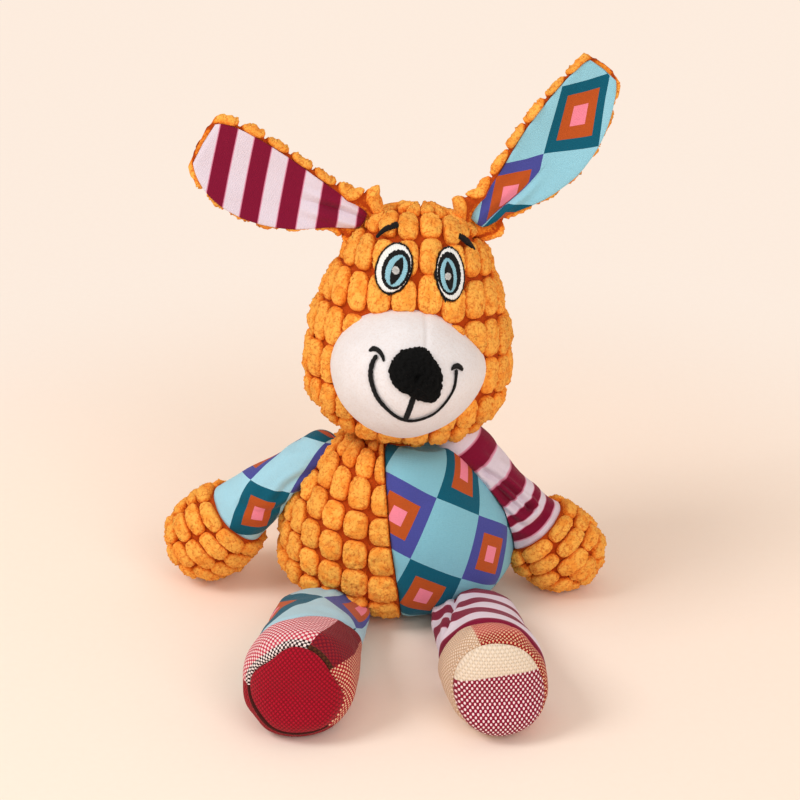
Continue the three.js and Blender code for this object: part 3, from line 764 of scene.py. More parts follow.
def lumps(points, size, seed, waves=14):
    """Soft unevenness from -1 to 1: the mean of sine waves of that length in random directions."""
    rng = np.random.default_rng(seed)
    way = rng.normal(size=(waves, 3))
    way /= np.linalg.norm(way, axis=1, keepdims=True)
    way *= 2 * math.pi / (size * rng.uniform(0.75, 1.35, (waves, 1)))
    phase = rng.uniform(0, 2 * math.pi, waves)
    total = sum(np.sin(points @ w + p) for w, p in zip(way, phase))
    return total * math.sqrt(2 / waves) / 2


def eased(value, low, high):
    """A smooth step from 0 at low to 1 at high."""
    share = np.clip((value - low) / (high - low), 0, 1)
    return share * share * (3 - 2 * share)


# %% [markdown]
# ## The kernels
#
# The pile of this plush is cut so that it stands in kernels, rounded oblongs in straight
# columns with a deep groove between them. The grid of the cloth is laid so that each
# kernel has its own rings of points: they are drawn in to a rounded oblong, raised to a
# dome, and the outermost ring stays down on the ground.

# %% Kernel grid
kernel_rings = np.array([0, 0.11, 0.22, 0.33, 0.44, 0.54, 0.63, 0.72, 0.81, 0.89, 0.95])
dome_rings = np.array([0, 0.22, 0.44, 0.54, 0.63, 0.72, 0.81, 0.89, 0.95, 1])
dome_reach = np.array([0, 0.31, 0.6, 0.72, 0.82, 0.905, 0.965, 1, 0.99, 1])
dome_rise = np.array([1, 0.99, 0.93, 0.87, 0.79, 0.67, 0.5, 0.26, 0.04, 0])
kernel_roundness = 2.9
kernel_fill = (0.99, 0.985)
print("points in one kernel:", (2 * len(kernel_rings)) ** 2)


def kernel_grid(columns, rows, seed, drift=0.0, wobble=0.05):
    """Where each point of a kernel cloth lies, in columns and rows, and how high its pile stands.

    Within a kernel a point at square ring r moves to the rounded oblong of that ring, whose
    outline is |x|^n + |y|^n = 1, and rises to the dome's height there. Each column falls a
    little against the one before it.
    """
    rng = np.random.default_rng(seed)
    cell = np.concatenate([[-1.0], -kernel_rings[:0:-1], kernel_rings])
    column_at = np.append((np.arange(columns)[:, None] + 0.5 + cell / 2).ravel(), columns)
    row_at = np.append((np.arange(rows)[:, None] + 0.5 + cell / 2).ravel(), rows)
    column, row = np.meshgrid(column_at, row_at)
    column_cell = np.minimum(np.floor(column + 1e-9), columns - 1)
    row_cell = np.minimum(np.floor(row + 1e-9), rows - 1)
    s = (column - column_cell) * 2 - 1
    t = (row - row_cell) * 2 - 1
    ring = np.maximum(np.abs(s), np.abs(t))
    edge = ring > 0.999
    safe = np.maximum(ring, 1e-6)
    way_s, way_t = s / safe, t / safe
    spread = np.abs(way_s) ** kernel_roundness + np.abs(way_t) ** kernel_roundness
    shrink = np.maximum(spread, 1e-3) ** (-1 / kernel_roundness)
    reach = np.interp(ring, dome_rings, dome_reach)
    rise = np.interp(ring, dome_rings, dome_rise)
    pick = (row_cell.astype(int), column_cell.astype(int))
    size = rng.uniform(0.93, 1.04, (rows, columns, 2))[pick]
    shift = rng.normal(0, 0.028, (rows, columns, 2))[pick]
    lean = rng.normal(0, 0.09, (rows, columns, 2))[pick]
    tall = rng.uniform(0.86, 1.1, (rows, columns))[pick]
    tone = rng.uniform(0.93, 1.05, (rows, columns))[pick]
    x = np.where(edge, s, way_s * shrink * reach * kernel_fill[0] * size[..., 0] + shift[..., 0])
    y = np.where(edge, t, way_t * shrink * reach * kernel_fill[1] * size[..., 1] + shift[..., 1])
    falls = drift * (np.arange(columns) + 0.5) + rng.normal(0, wobble, columns)
    grooves = np.concatenate([falls[:1], (falls[:-1] + falls[1:]) / 2, falls[-1:]])
    on_groove = np.abs(s) > 0.999
    fall = np.where(on_groove, grooves[np.round(column).astype(int)], falls[pick[1]])
    out_column = column_cell + 0.5 + x / 2
    out_row = row_cell + 0.5 + y / 2 + fall
    pile = np.where(edge, 0, rise * tall * (1 + lean[..., 0] * s + lean[..., 1] * t))
    return {
        "column": out_column, "row": out_row, "level": row, "pile": pile,
        "crown": np.where(edge, 0, rise), "tone": tone, "drift": drift,
    }


# %% [markdown]
# A kernel cloth is laid round a stuffed form with the same pitch everywhere. Where the form
# gets slimmer the cloth has too many columns, so they run off into a seam at the back, as
# they do where real plush is cut and sewn.

# %% Cloth laid round a form


least_radius = 9 * mm
floor_gap = 0.02 * mm


def cloth_radius(form, run):
    """The radius a cloth is laid at: the root of the girth squared plus the least one squared."""
    return np.hypot(form.girth(run), least_radius)


def round_cloth(form, grid, pitch, first, run_of, seam, side=1, across_of=None, edge=1.5 * mm):
    """Points, normals and pile share of a kernel cloth round a form, and how far the seam is.

    The turn is the distance across the cloth over the form's radius, kept between two seams.
    A point past a seam goes to the seam, at the run where its own row meets it.
    """
    run = run_of(grid["row"])
    across = first + pitch * grid["column"]
    if across_of:
        across = across_of(grid["column"], run)
    turn = across / cloth_radius(form, run)
    low, high = seam(run)
    past = (turn < low) | (turn > high)
    seam_run = run_of(grid["level"])
    for _ in range(5):
        seam_low, seam_high = seam(seam_run)
        seam_turn = np.where(turn < low, seam_low, seam_high)
        seam_column = (seam_turn * cloth_radius(form, seam_run) - first) / pitch
        seam_run = run_of(grid["level"] + grid["drift"] * seam_column)
    at_low = turn < low
    run = np.where(past, seam_run, run)
    low, high = seam(run)
    turn = np.where(past, np.where(at_low, low, high), turn)
    points, normal = form(run, side * turn)
    gap = np.minimum(turn - low, high - turn) * form.girth(run)
    pole = np.minimum(run, form.total - run)
    held = eased(gap, 0, edge) * eased(pole, 0, 2 * mm)
    return points, normal, np.where(past, 0, held), np.where(past, 0, gap)


# %% Pile that stands up


def stand_pile(grid, points, normal, held, ground, height, seed):
    """Points raised along their normals by the ground and the pile, uneven and tufty."""
    rng = np.random.default_rng(seed)
    lifted = grid["pile"] * held
    uneven = lumps(points, 5.5 * mm, seed) * 0.35 * mm + lumps(points, 2.3 * mm, seed + 1) * 0.25 * mm
    uneven = uneven + lumps(points, 1.3 * mm, seed + 2) * 0.2 * mm
    grain = rng.normal(0, 0.15 * mm, lifted.shape)
    rise = ground + height * lifted + (uneven + grain) * np.clip(lifted * 1.5, 0, 1)
    sideways = rng.normal(0, 0.12 * mm, points.shape) * np.clip(lifted, 0, 1)[..., None]
    values = {"pile": grid["crown"] * np.clip(held, 0, 1), "tone": grid["tone"]}
    return points + normal * rise[..., None] + sideways, values


def with_column(points, values, column):
    """The grid with one more column of points at its end, and its values with zeros there."""
    wider = {key: np.concatenate([value, 0 * value[:, :1]], 1) for key, value in values.items()}
    wider["tone"][:, -1] = 1
    return np.concatenate([points, column], 1), wider


def above_floor(points):
    """Points below the floor rest on it."""
    flat = points.copy()
    flat[..., 2] = np.maximum(flat[..., 2], floor_gap)
    return flat


# %% [markdown]
# ## The head
#
# The head is one cover of kernel plush over wadding, with the muzzle let into its front.
# Its columns run up over the face, and the seam is at the back.

# %% Head cover
head_ground = -3.1 * mm
head_pile = 3.4 * mm
head_pitch = 10.3 * mm
head_first = -125.05 * mm
head_row_ends = np.array([0, 18.25, 125.35, 134.98]) * mm
muzzle_centre = np.array([-0.4, -22, 32.2]) * mm
muzzle_half = np.array([30.8, 35, 27.5]) * mm
muzzle_turns = np.array([0, 17, 48, 80, 109, 154, 187, 234, 259, 277, 320]) * degree
muzzle_reach_shares = np.array(
    [0.905, 0.88, 0.84, 0.985, 0.9, 0.885, 0.975, 0.953, 0.943, 0.958, 0.917]
)
eye_layers = {
    "right": {
        "outline": ((-9.2, 70.6), (6.6, 9.5)), "white": ((-9.2, 70.6), (5.9, 8.8)),
        "rim": ((-8.3, 70.2), (5.0, 7.3)), "iris": ((-8.15, 69.8), (3.75, 5.8)),
        "pupil": ((-8.0, 69.7), (1.9, 5.3)), "glint": ((-8.35, 69.9), (1.35, 1.4)),
    },
    "left": {
        "outline": ((12.3, 70.0), (5.75, 9.75)), "white": ((12.3, 70.0), (5.1, 9.1)),
        "rim": ((11.7, 70.1), (4.5, 7.6)), "iris": ((11.4, 69.4), (3.1, 6.0)),
        "pupil": ((11.5, 69.2), (1.7, 5.2)), "glint": ((11.0, 69.1), (1.2, 1.3)),
    },
}
eye_tilts = {"right": 20 * degree, "left": -10 * degree}
neck_radius = 14 * mm
neck_gap = 0.6 * mm
cup_top = 30 * mm
face_pile = 0.6
eye_pile = 0.4
muzzle_sink = 1.2 * mm


def muzzle_reach(turn):
    """How far the muzzle's outline comes at a turn from up, as a share of its oval."""
    near = np.linspace(-15, 15, 5) * degree
    return np.mean(
        [np.interp(turn + a, muzzle_turns, muzzle_reach_shares, period=2 * math.pi) for a in near],
        axis=0,
    )


def muzzle_share(points):
    """1 on the muzzle's own dome, less inside it, in the head's frame."""
    side, deep, up = np.moveaxis((points - muzzle_centre) / muzzle_half, -1, 0)
    flat = np.hypot(side, up) / muzzle_reach(np.arctan2(side, up))
    return np.hypot(flat, deep)


def tilted(right, up, tilt):
    """A step right and up, as a step across and along an eye that leans by that tilt."""
    across = right * math.cos(tilt) - up * math.sin(tilt)
    along = right * math.sin(tilt) + up * math.cos(tilt)
    return across, along


def eye_share(points, side):
    """1 on the outline of an embroidered eye, less inside it."""
    centre, half = (np.array(pair) * mm for pair in eye_layers[side]["outline"])
    across, along = tilted(points[..., 0] - centre[0], points[..., 2] - centre[1], eye_tilts[side])
    return np.hypot(across / half[0], along / half[1])


def head_press(points):
    """The share of the pile left standing, and how far the ground sinks, in the head's frame."""
    out = (muzzle_share(points) - 1) * 28 * mm + lumps(points, 3 * mm, 4) * 0.3 * mm
    front = points[..., 1] < 0
    held = np.where(front, face_pile + (1 - face_pile) * eased(out, 0, 1.8 * mm), 1)
    held = np.where(front & (out < 0), 0.0, held)
    sunk = np.where(front & (out < 0.1 * mm), muzzle_sink, 0)
    for side in eye_layers:
        share = np.where(front, eye_share(points, side), 9)
        held = np.where(share < 1, eye_pile, held * (0.85 + 0.15 * eased(share, 1, 1.15)))
    return held, sunk


def head_run(row):
    """The run of a row of kernels: an even pitch, with the last rows fitted to the poles."""
    return np.interp(row, [0, 1, 8, 9], head_row_ends)


def back_seam(run):
    """The seam down the back: half a turn either way at every run."""
    return 0 * run - math.pi, 0 * run + math.pi


# %% The head's plush
head_grid = kernel_grid(24, 9, 11, wobble=0.045)
points, normal, held, _ = round_cloth(
    head_form, head_grid, head_pitch, head_first, head_run, back_seam
)
pressed, sunk = head_press(points)
points, values = stand_pile(
    head_grid, points, normal, held * pressed, head_ground - sunk, head_pile, 3
)
from_axis = points[..., 0] ** 2 + points[..., 1] ** 2
cup = np.sqrt(np.maximum((neck_radius + neck_gap) ** 2 - from_axis, 0))
in_cup = (cup > 0) & (points[..., 2] < cup_top)
points[..., 2] = np.where(in_cup, np.maximum(points[..., 2], cup), points[..., 2])
head_cover = sewn(
    "head_plush", put(points, "head"), orange_plush, closed=False, values=values, body="head"
)
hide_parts("head_cover", "head_wadding")

# %% [markdown]
# ## The muzzle
#
# The muzzle is a separate dome of short white pile, sewn in with a dart at the top. It is a
# polar grid about the way the toy looks, and it closes behind, inside the head.

# %% Muzzle
velboa, velboa_tree, velboa_shader = new_finish("white_velboa", 1.0, 0.25, seen(255, 250, 246), 0.5)
velboa_nap = speckle(velboa_tree, 0.9 * mm, 3.0, 0.7)
velboa_cloud = speckle(velboa_tree, 6 * mm, 2.0, 0.6)
velboa_colour = mixed(velboa_tree, velboa_cloud, seen(229, 223, 224), seen(239, 236, 238))
# Painted shade in the low places of the nap: a darker, warmer white.
velboa_nap_shade = times(velboa_tree, ramped(velboa_tree, velboa_nap, 0.55, 0.35), 0.35)
velboa_colour = mixed(velboa_tree, velboa_nap_shade, velboa_colour, seen(222, 208, 202))
velboa_bump = raised(velboa_tree, velboa_nap, 0.3 * mm)
painted(velboa_tree, velboa_shader, velboa_colour, velboa_bump)

mouth_centre = np.array([-0.6, 40.0]) * mm
mouth_half = np.array([15.8, 20.3]) * mm
smile_shares = np.array([
    [-0.87, 0.13], [-0.96, 0], [-1, -0.18], [-0.95, -0.38], [-0.78, -0.64], [-0.45, -0.88],
    [-0.15, -1], [0.15, -1], [0.52, -0.87], [0.78, -0.64], [0.95, -0.38], [0.99, -0.17],
    [0.99, -0.03],
])
cheek_shares = {
    "right": np.array([[-1.06, 0.15], [-0.94, 0.21], [-0.83, 0.19], [-0.75, 0.12], [-0.72, 0.04]]),
    "left": np.array([[0.87, -0.05], [0.92, 0], [1.01, 0.015], [1.11, -0.03], [1.15, -0.08]]),
}


def curve_through(places, count=90):
    """A smooth line through a few places, as that many places."""
    places = np.asarray(places, float)
    padded = np.vstack([2 * places[0] - places[1], places, 2 * places[-1] - places[-2]])
    at = np.linspace(0, len(places) - 1, count)
    start = np.minimum(at.astype(int), len(places) - 2)
    return between(padded, start, (at - start)[:, None])


smile_line = mouth_centre + curve_through(smile_shares) * mouth_half


def line_gap(x, z, line):
    """The distance from each place to the nearest point of a line."""
    gap = np.full(x.shape, 1.0)
    for place in line:
        gap = np.minimum(gap, np.hypot(x - place[0], z - place[1]))
    return gap


def muzzle_dome(polar, turn):
    """A point of the dome: polar is the angle from the way the toy looks, turn the way round."""
    reach = muzzle_reach(turn)
    half = np.stack([muzzle_half[0] * reach, muzzle_half[1] + 0 * reach, muzzle_half[2] * reach], -1)
    way = np.stack([np.sin(polar) * np.sin(turn), -np.cos(polar), np.sin(polar) * np.cos(turn)], -1)
    return muzzle_centre + way * half, unit(way / half)


# %% The muzzle's dome
dart_x = 3.7 * mm
dart_low = 47 * mm
dart_high = 56 * mm
dart_depth = 0.7 * mm
dart_width = 0.9 * mm
smile_depth = 0.55 * mm
smile_width = 2.2 * mm
polar_steps = np.concatenate([np.linspace(0, 100, 96), np.linspace(101, 176, 14), [180]]) * degree
turn_steps = full_turn(180)
polar, turn = np.meshgrid(polar_steps, turn_steps, indexing="ij")
points, normal = muzzle_dome(polar, turn)
front = np.where(points[..., 1] < muzzle_centre[1] + 4 * mm, 1.0, 0.0)
beyond = np.maximum(np.maximum(dart_low - points[..., 2], points[..., 2] - dart_high), 0)
dart = np.hypot(points[..., 0] - dart_x, beyond)
smile_gap = line_gap(points[..., 0], points[..., 2], smile_line)
dents = -dart_depth * np.exp(-((dart / dart_width) ** 2))
dents = dents - smile_depth * np.exp(-((smile_gap / smile_width) ** 2))
behind = eased(polar, 100 * degree, 150 * degree)
velboa_lumps = lumps(points, 16 * mm, 21) * 0.25 * mm + lumps(points, 2 * mm, 22) * 0.05 * mm
rise = (dents + velboa_lumps) * front - 12 * mm * behind
points = points + normal * rise[..., None]
muzzle = sewn("muzzle_pile", put(points, "head"), velboa, body="head")
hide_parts("muzzle_cover")

# %% [markdown]
# ## Nose and stitching
#
# The nose is a patch of black plush, a soft dome with its own outline. The smile and the
# marks beside it are satin stitch: threads laid side by side across a line.

# %% On the front of the muzzle and of the head


def muzzle_front(x, z):
    """The front of the muzzle at a place, and its normal."""
    side = (x - muzzle_centre[0]) / muzzle_half[0]
    up = (z - muzzle_centre[2]) / muzzle_half[2]
    deep = np.sqrt(np.clip(1 - (side**2 + up**2) / muzzle_reach(np.arctan2(side, up)) ** 2, 1e-4, 1))
    points = np.stack([x, muzzle_centre[1] - muzzle_half[1] * deep, z], -1)
    return points, unit((points - muzzle_centre) / muzzle_half**2)


head_table = outline_at(head_shares, np.linspace(0, len(head_shares) - 1, 600))


def head_front(x, z):
    """The front of the head at a place, and its normal."""

    def depth(x, z):
        """How far back the skin lies: the oval of that height, at that place across it."""
        height = (z - head_base) / head_height
        wide = np.interp(height, head_table[:, 0], head_table[:, 1]) * head_half_width
        deep = np.interp(height, head_table[:, 0], head_table[:, 2]) * head_half_depth
        return -deep * np.sqrt(np.clip(1 - ((x - head_centre_x) / wide) ** 2, 1e-4, 1))

    step = 0.2 * mm
    slope_x = (depth(x + step, z) - depth(x - step, z)) / (2 * step)
    slope_z = (depth(x, z + step) - depth(x, z - step)) / (2 * step)
    normal = np.stack([slope_x, -np.ones_like(slope_x), slope_z], -1)
    return np.stack([x, depth(x, z), z], -1), unit(normal)


# %% Thread and satin stitch
thread_pitch = 0.42 * mm


def thread_finish(name, dark, light):
    """Satin thread: fine lines along the stitches, painted light on each thread and painted
    shade between threads, with a soft gloss.
    """
    finish, tree, shader = new_finish(name, 0.7, 0.05)
    across, along = cloth_place(tree)
    line = ribs(tree, along, thread_pitch)
    # Painted light and shade: the light colour on the threads, the dark colour between them.
    share = calc(tree, "MULTIPLY_ADD", line, 0.35, 0.5)
    painted(tree, shader, mixed(tree, share, dark, light), raised(tree, line, 0.07 * mm))
    return finish


black_thread = thread_finish("black_thread", seen(2, 2, 3), seen(14, 14, 15))
white_thread = thread_finish("white_thread", seen(226, 228, 226), seen(250, 250, 248))
blue_thread = thread_finish("blue_thread", seen(122, 182, 202), seen(164, 212, 226))


def satin_line(name, line, widths, front, lift, node):
    """A raised band of black satin stitch: an oval section carried along a line on a surface.

    The widths lie at even steps along the line, and both ends are round.
    """
    steps = np.linspace(0, 1, 110)
    gone = np.concatenate([[0], np.cumsum(np.hypot(*np.diff(line, axis=0).T))])
    x = np.interp(steps * gone[-1], gone, line[:, 0])
    z = np.interp(steps * gone[-1], gone, line[:, 1])
    way = unit(np.stack([np.gradient(x), np.gradient(z)], -1))
    to_end = np.minimum(steps, 1 - steps) * gone[-1]
    ends = np.sqrt(np.clip(1 - np.clip(1 - to_end / (0.7 * mm), 0, 1) ** 2, 0, 1))
    width = np.interp(steps, np.linspace(0, 1, len(widths)), widths)
    rng = np.random.default_rng(33)
    uneven = 1 + rng.normal(0, 0.1, len(steps))
    half = width / 2 * np.maximum(ends, 0.02) * uneven
    angle = full_turn(20)
    over = np.cos(angle)[None] * half[:, None]
    px = x[:, None] - way[:, 1:] * over
    pz = z[:, None] + way[:, :1] * over
    points, normal = front(px, pz)
    thick = 0.4 * mm * np.maximum(ends, 0.05)[:, None] * np.sin(angle)[None]
    points = points + normal * (lift + thick)[..., None]
    along = steps * gone[-1]
    cloth = np.zeros((len(along), len(angle) + 1, 2))
    cloth[..., 0] = np.append(np.cos(angle), 1)[None] * 1 * mm
    cloth[..., 1] = along[:, None]
    points, cloth = capped(points, cloth)
    piece = sewn(name, put(points, "head"), black_thread, cloth=cloth, body="head")
    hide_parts(node)
    return piece


# %% [markdown]
# The smile, the line under the nose and the two marks beside it lie on the front of the
# muzzle. Each is a band of satin stitch along a smooth line through a few places.

# %% Smile and marks
stitch_lift = 0.2 * mm
smile_widths = np.array([1.3, 1.7, 1.6, 1.3, 1.15, 1.0, 0.8, 0.9, 1.2]) * mm
satin_line("smile_satin", smile_line, smile_widths, muzzle_front, stitch_lift, "mouth_stitch")
philtrum_line = np.array([[-0.2, 30.8], [-2.3, 19.9]]) * mm
philtrum_widths = np.array([2.1, 2.1]) * mm
satin_line(
    "philtrum_satin", philtrum_line, philtrum_widths, muzzle_front, stitch_lift, "philtrum_stitch"
)
cheek_widths = np.array([0.6, 1.5, 1.6, 1.4, 0.8]) * mm
for side, shares in cheek_shares.items():
    cheek_line = mouth_centre + curve_through(shares) * mouth_half
    satin_line(
        side + "_cheek_satin", cheek_line, cheek_widths, muzzle_front, stitch_lift,
        side + "_cheek_stitch",
    )

# %% [markdown]
# The nose is a patch with an outline of its own, a little ragged where the pile sticks out. A
# polar grid goes from its middle to the outline in a low dome, and back beneath.

# %% Nose
nose_shares = np.array([
    [-0.63, 0.81], [-0.3, 0.96], [0.27, 1], [0.64, 0.63], [0.93, 0.24], [1, -0.26],
    [0.79, -1], [0.28, -0.92], [-0.21, -0.69], [-0.81, -0.36], [-1, 0.09], [-0.86, 0.54],
])
nose_centre = np.array([-0.2, 37.1]) * mm
nose_half = np.array([9.9, 9.5]) * mm
nose_thickness = 3.0 * mm


def closed_outline(shares, turn):
    """The distance from the middle to a closed outline, smooth round the turn."""
    angle = np.arctan2(shares[:, 0], shares[:, 1])
    far = np.hypot(shares[:, 0], shares[:, 1])
    order = np.argsort(angle)
    angle, far = angle[order], far[order]
    wide = np.concatenate([angle - 2 * math.pi, angle, angle + 2 * math.pi])
    tall = np.tile(far, 3)
    spread = np.linspace(-math.pi, math.pi, 721)
    bare = np.interp(spread, wide, tall)
    kernel = np.hanning(35)
    kernel /= kernel.sum()
    soft = np.convolve(np.tile(bare[:-1], 3), kernel, mode="same")[720:1440]
    soft = np.append(soft, soft[0])
    return np.interp((turn + math.pi) % (2 * math.pi) - math.pi, spread, soft)


out_steps = np.concatenate([np.linspace(0, 1, 40), np.linspace(0.97, 0, 8)])
side_of = np.concatenate([np.ones(40), np.zeros(8)])
turn_steps = full_turn(140)
out, turn = np.meshgrid(out_steps, turn_steps, indexing="ij")
rng = np.random.default_rng(31)
ragged = rng.normal(0, 0.018, len(turn_steps))[None] * eased(out, 0.75, 1)
reach = (closed_outline(nose_shares, turn) + ragged) * out
nose_x = nose_centre[0] + nose_half[0] * reach * np.sin(turn)
nose_z = nose_centre[1] + nose_half[1] * reach * np.cos(turn)
points, normal = muzzle_front(nose_x, nose_z)
swell = nose_thickness * np.maximum(1 - out**3.2, 0) ** 0.5
fuzz = lumps(points, 1.8 * mm, 32) * 0.25 * mm + rng.normal(0, 0.12 * mm, out.shape)
rise = np.where(side_of[:, None] > 0, swell + fuzz * (out < 0.99) + 0.35 * mm, 0.3 * mm)
points = points + normal * rise[..., None]
nose = sewn(
    "nose_plush", put(points, "head"), black_plush, body="head",
    values={"pile": np.clip(0.7 + fuzz / (0.5 * mm), 0, 1), "tone": 1 + 0 * out},
)
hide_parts("nose")

# %% [markdown]
# ## Eyes and brows
#
# Each eye is embroidered as ovals laid one on another: a black edge, a white, a black ring,
# a blue iris, a dark slit and a small glint. The stitches run out from the middle.

# %% Eyes
layer_threads = {
    "outline": (black_thread, "black_thread"), "white": (white_thread, "white_thread"),
    "rim": (black_thread, "black_thread"), "iris": (blue_thread, "blue_thread"),
    "pupil": (black_thread, "black_thread"), "glint": (white_thread, "white_thread"),
}
stray_stitches = {
    "right": [((-10.7, 61.0), 0.5)],
    "left": [((10.9, 60.2), 1.3), ((6.4, 70.2), 0.5), ((6.9, 68.8), 0.5)],
}
layer_step = 0.2 * mm
lowest_layer = -0.45 * mm
layer_crown = 0.2 * mm


# %% Satin ovals


def satin_oval(side, layer, order):
    """A disc of satin stitch on the head: rings out from its middle, then back beneath.

    A pupil is a spindle. The outline has a few stray stitches past its edge.
    """
    centre, half = (np.array(pair) * mm for pair in eye_layers[side][layer])
    tilt = eye_tilts[side]
    finish, slot = layer_threads[layer]
    rng = np.random.default_rng(41 + order)
    out_steps = np.concatenate([np.linspace(0, 1, 16), np.linspace(0.97, 0, 4)])
    top = np.concatenate([np.ones(16), np.zeros(4)])
    angle = full_turn(96)
    out, turn = np.meshgrid(out_steps, angle, indexing="ij")
    past = rng.normal(0, 0.1 * mm, len(angle))
    if layer == "outline":
        for place, length in stray_stitches[side]:
            right, up = np.array(place) * mm - centre
            across, along = tilted(right, up, tilt)
            away = np.angle(np.exp(1j * (angle - math.atan2(across / half[0], along / half[1]))))
            past = past + length * mm * np.exp(-((away / (5 * degree)) ** 2))
    slim = np.abs(np.sin(turn)) ** 0.6 if layer == "pupil" else 1
    reach = out * (1 + past[None] / half.mean() * out**4)
    across = half[0] * reach * np.sin(turn) * slim
    along = half[1] * reach * np.cos(turn)
    px = centre[0] + across * math.cos(tilt) + along * math.sin(tilt)
    pz = centre[1] - across * math.sin(tilt) + along * math.cos(tilt)
    points, normal = head_front(px, pz)
    lift = lowest_layer + order * layer_step
    crown = lift + layer_crown * np.sqrt(np.maximum(1 - out**4, 0))
    rise = np.where(top[:, None] > 0, crown, lift - 0.5 * mm)
    points = points + normal * rise[..., None]
    cloth = np.zeros((len(out_steps), len(angle) + 1, 2))
    cloth[..., 0] = out_steps[:, None] * half[1]
    cloth[..., 1] = np.append(angle, 2 * math.pi)[None] * 3 * mm
    node = side + "_eye_" + layer
    piece = sewn(node + "_satin", put(points, "head"), finish, cloth=cloth, body="head")
    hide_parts(node)


for side in eye_layers:
    for order, layer in enumerate(eye_layers[side]):
        satin_oval(side, layer, order)

# %% [markdown]
# A brow is one short band of the same satin stitch, on the plush of the forehead.

# %% Brows
brow_places = {
    "right": np.array([[-15.8, 79.5], [-12.6, 82.8], [-7.8, 85.2]]) * mm,
    "left": np.array([[14.6, 82.9], [18.5, 80.2], [21.6, 77.3]]) * mm,
}
brow_widths = {
    "right": np.array([0.9, 1.5, 1.9]) * mm,
    "left": np.array([1.8, 2.1, 0.5]) * mm,
}
for side, brow_line in brow_places.items():
    satin_line(
        side + "_brow_satin", curve_through(brow_line), brow_widths[side], head_front, 0.3 * mm,
        side + "_brow",
    )

# %% [markdown]
# ## The body
#
# The body is sewn from two halves. The right one is kernel plush, the left one is a smooth
# cotton printed with diamonds. Each half is closed by a flat wall at the seam.

# %% Body: the plush half
body_pitch = 10.7 * mm
body_first = 0.2 * mm
body_row_pitch = 12.0 * mm
body_drift = 0.14
seam_heights = np.array([0, 20, 40, 65]) * mm
seam_leans = np.array([3.0, 1.2, -1.7, -3.8]) * mm
seam_gap = 0.3 * mm
chin_gap = 0.3 * mm
top_swell = 3.8 * mm
body_ground = -3.1 * mm
body_pile = 3.6 * mm
seam_rise = 1.9 * mm
neck_turns = np.array([-35, -18, 0, 18, 35]) * degree


def seam_x(height):
    """Where the middle seam lies across the body at a height: it leans to the right half."""
    return np.interp(height, seam_heights, seam_leans)


def seam_turn(run, side):
    """The turn where the seam cuts one half of the body at a run: side -1 is the plush half."""
    inside = side * (seam_x(body_form.height_at(run)) - body_form.centre_x) + seam_gap / 2
    return np.arcsin(np.clip(inside / np.maximum(body_form.width_at(run), 1e-5), -1, 1))


def half_seams(side):
    """The two turns between which one half of the body lies, as a function of the run."""

    def seams(run):
        """From the front seam to the one at the back."""
        low = seam_turn(run, side)
        return low, math.pi - low

    return seams


def body_run(row):
    """The run of a row of kernels on the body."""
    return np.clip((row - 2.07) * body_row_pitch - 3.1 * mm, 0, body_form.total - 0.01 * mm)


def body_across(column, run):
    """Columns a pitch wide, closer near the top. The first reaches to the seam where it leans away."""
    closer = 1 - 0.22 * eased(run, 75 * mm, 105 * mm)
    seam_at = seam_turn(run, -1) * cloth_radius(body_form, run)
    short = np.minimum(seam_at - body_first - seam_gap, 0)
    return (body_first + body_pitch * column) * closer + short * np.clip(1 - column, 0, 1)


def under_head(points, normal, run):
    """The body's shoulders swell up to the chin, by the most that stays clear of the turned head."""
    swell = 0 * run
    for share in np.linspace(0, 1, 9):
        tried = top_swell * eased(run, 84 * mm, 100 * mm) * share
        from_neck = points + normal * tried[..., None] - neck_from_drawing
        inside = [
            head_form.inside(from_neck @ turned(z=turn) @ head_axes, chin_gap) for turn in neck_turns
        ]
        swell = np.where(np.min(inside, axis=0) > 1, tried, swell)
    return swell


def seam_wall(points, from_seam):
    """The middle line of the wall that closes a half: its first column, level with the seam."""
    wall = points[:, :1].copy()
    wall[..., 1] = 0
    wall[..., 0] = seam_x(wall[..., 2]) + from_seam
    return wall


# %% The plush half, sewn
body_grid = kernel_grid(14, 13, 17, drift=body_drift, wobble=0.05)
points, normal, held, gap = round_cloth(
    body_form, body_grid, body_pitch, body_first, body_run, half_seams(-1), side=-1,
    across_of=body_across, edge=0.9 * mm,
)
run = body_form.run_at(points[..., 2])
ground = body_ground + seam_rise * (1 - eased(gap, 0, 2 * mm)) + under_head(points, normal, run)
points, values = stand_pile(body_grid, points, normal, held, ground, body_pile, 8)
points[..., 0] = np.minimum(points[..., 0], seam_x(points[..., 2]) - seam_gap / 2)
points, values = with_column(points, values, seam_wall(points, -seam_gap / 2))
points = above_floor(points + drawing_shift)
plush_half = sewn("body_plush_half", points, orange_plush, values=values, body="torso")
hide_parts("body_right_cover", "body_right_wadding")

# %% [markdown]
# The printed half is a grid from seam to seam. The cotton lies smooth over the wadding, with
# soft folds, and puckers close to the seam, where the thread draws it in.

